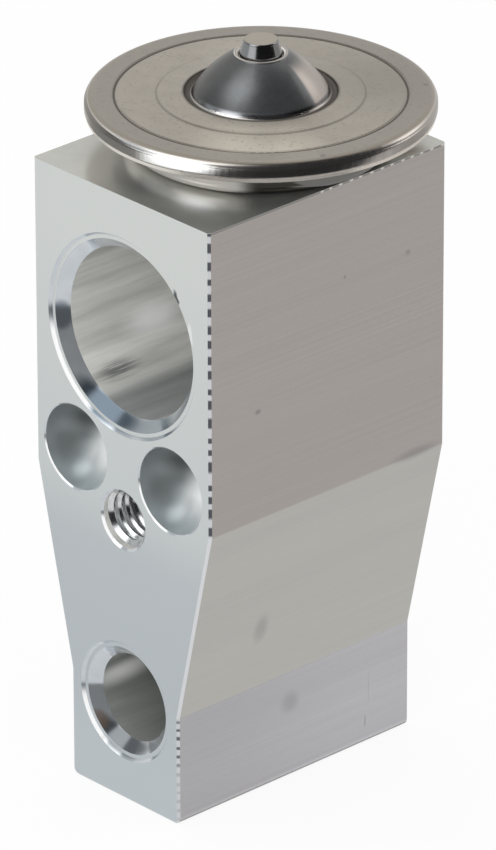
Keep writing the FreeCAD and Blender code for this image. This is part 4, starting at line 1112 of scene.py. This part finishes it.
# Spring steel pieces
# The damping spring and the seal's retainer are punched from strip and tempered, which
# leaves a brownish heat tint.
SPRING_COLOURS = ((0.30, 0.27, 0.245, 1), (0.50, 0.49, 0.48, 1))
SPRING_SCRATCH = grey(0.7)
SPRING_ROUGH = (0.34, 0.22)
HEAT_TINT, SCRATCHES = (0.8, 2.4), ((1.0, 9.0, 9.0), 2.0)
SCRATCH_DEPTH = 0.003
spring_steel, tree, shader = new_material("spring steel")
point = use_group(tree, on_part)["Point"]
tint = streaked(tree, point, *HEAT_TINT)
scratches = streaked(tree, point, *SCRATCHES)
colour = mix_colours(tree, tint, *SPRING_COLOURS)
colour = paint(tree, colour, scratches, SPRING_SCRATCH, share=0.2)
scratched = bump(tree, scratches, SCRATCH_DEPTH, strength=0.3)
finish(tree, shader, colour, mix_values(tree, tint, *SPRING_ROUGH), scratched)
for name in ("shaft_damping_spring", "rod_oring_retainer"):
    nodes[name].material_slots[0].material = spring_steel


# Valve spring
# Coiled from drawn wire, with both ends ground flat. It stands here as two lengths that meet
# where it keeps still.
WIRE_RADIUS = 0.4
WIRE_SIDES = 12
COIL_TURNS = 4.5
COIL_STEPS = 216
STILL_STEP = 130

spring_low, spring_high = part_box("valve_spring")
coil_radius = (spring_high[0] - spring_low[0]) / MM / 2 - WIRE_RADIUS
coil_foot, coil_head = spring_low[2] / MM, spring_high[2] / MM
coil_climb = (coil_head - coil_foot) / COIL_TURNS / (2 * math.pi * coil_radius)


def coil_length(first, last):
    """The wire from one step of the winding to another, closed at both ends."""
    made = bmesh.new()
    rings = []
    for step in range(first, last + 1):
        angle = 2 * math.pi * COIL_TURNS * step / COIL_STEPS
        outward = Vector((math.cos(angle), math.sin(angle), 0))
        along = Vector((-math.sin(angle), math.cos(angle), coil_climb)).normalized()
        across_wire = outward.cross(along)
        middle = outward * coil_radius
        middle += Vector((0, AXIS_Y, coil_foot + (coil_head - coil_foot) * step / COIL_STEPS))
        ring = []
        for side in range(WIRE_SIDES):
            turn = 2 * math.pi * side / WIRE_SIDES
            spot = middle + (outward * math.cos(turn) + across_wire * math.sin(turn)) * WIRE_RADIUS
            spot.z = min(max(spot.z, coil_foot), coil_head)
            ring.append(made.verts.new(spot * MM))
        rings.append(ring)
    for ring, after in zip(rings, rings[1:]):
        for side in range(WIRE_SIDES):
            face = made.faces.new((ring[side - 1], ring[side], after[side], after[side - 1]))
            face.smooth = True
    made.faces.new(rings[0])
    made.faces.new(rings[-1])
    bmesh.ops.recalc_face_normals(made, faces=made.faces)
    return made


spring_upper = add_piece("valve_spring_upper", coil_length(STILL_STEP, COIL_STEPS), spring_steel)
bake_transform(spring_upper)
spring_lower = add_piece("valve_spring_lower", coil_length(0, STILL_STEP), spring_steel)
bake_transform(spring_lower)
for length in (spring_upper, spring_lower):
    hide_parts("valve_spring")


# Push rod and ball
# Hardened bearing steel: the rod is centreless ground, the ball lapped and welded to its
# carrier's cup.
GROUND_COLOURS = (grey(0.52, 0.01), grey(0.66, 0.01))
GROUND_ROUGH = (0.10, 0.2)
GRINDING, HAZE = ((2.0, 2.0, 14.0), 1.8), (0.9, 2.0)
GRINDING_DEPTH = 0.0015
ground_steel, tree, shader = new_material("ground steel")
point = use_group(tree, on_part)["Point"]
grinding = streaked(tree, point, *GRINDING)
haze = streaked(tree, point, *HAZE)
colour = mix_colours(tree, grinding, *GROUND_COLOURS)
ground = bump(tree, grinding, GRINDING_DEPTH, strength=0.3)
finish(tree, shader, colour, mix_values(tree, haze, *GROUND_ROUGH), ground)
for name in ("push_rod", "valve_ball"):
    nodes[name].material_slots[0].material = ground_steel


# Ball carrier
# Turned from steel bar: a cup for the ball, a flange that the oil runs round, and a spigot
# for the valve spring.
CARRIER_COLOURS = (grey(0.34), (0.56, 0.545, 0.52, 1))
CARRIER_ROUGH = 0.3
nodes["ball_carrier"].material_slots[0].material = turned_metal(
    "carrier steel", CARRIER_COLOURS, CARRIER_ROUGH)


# Adjusting screw
# Turned from brass bar, its foot threaded and broached for a hexagon key; it sits in the
# block's foot and sets the spring.
SCREW_COLOURS = ((0.50, 0.36, 0.16, 1), (0.74, 0.58, 0.30, 1))
SCREW_ROUGH = 0.28
SCREW_PITCH = 0.75
SCREW_THREAD_RADIUS = 4.94
nodes["adjusting_screw"].material_slots[0].material = threaded_metal(
    "screw brass", SCREW_COLOURS, SCREW_ROUGH, SCREW_PITCH, SCREW_THREAD_RADIUS)
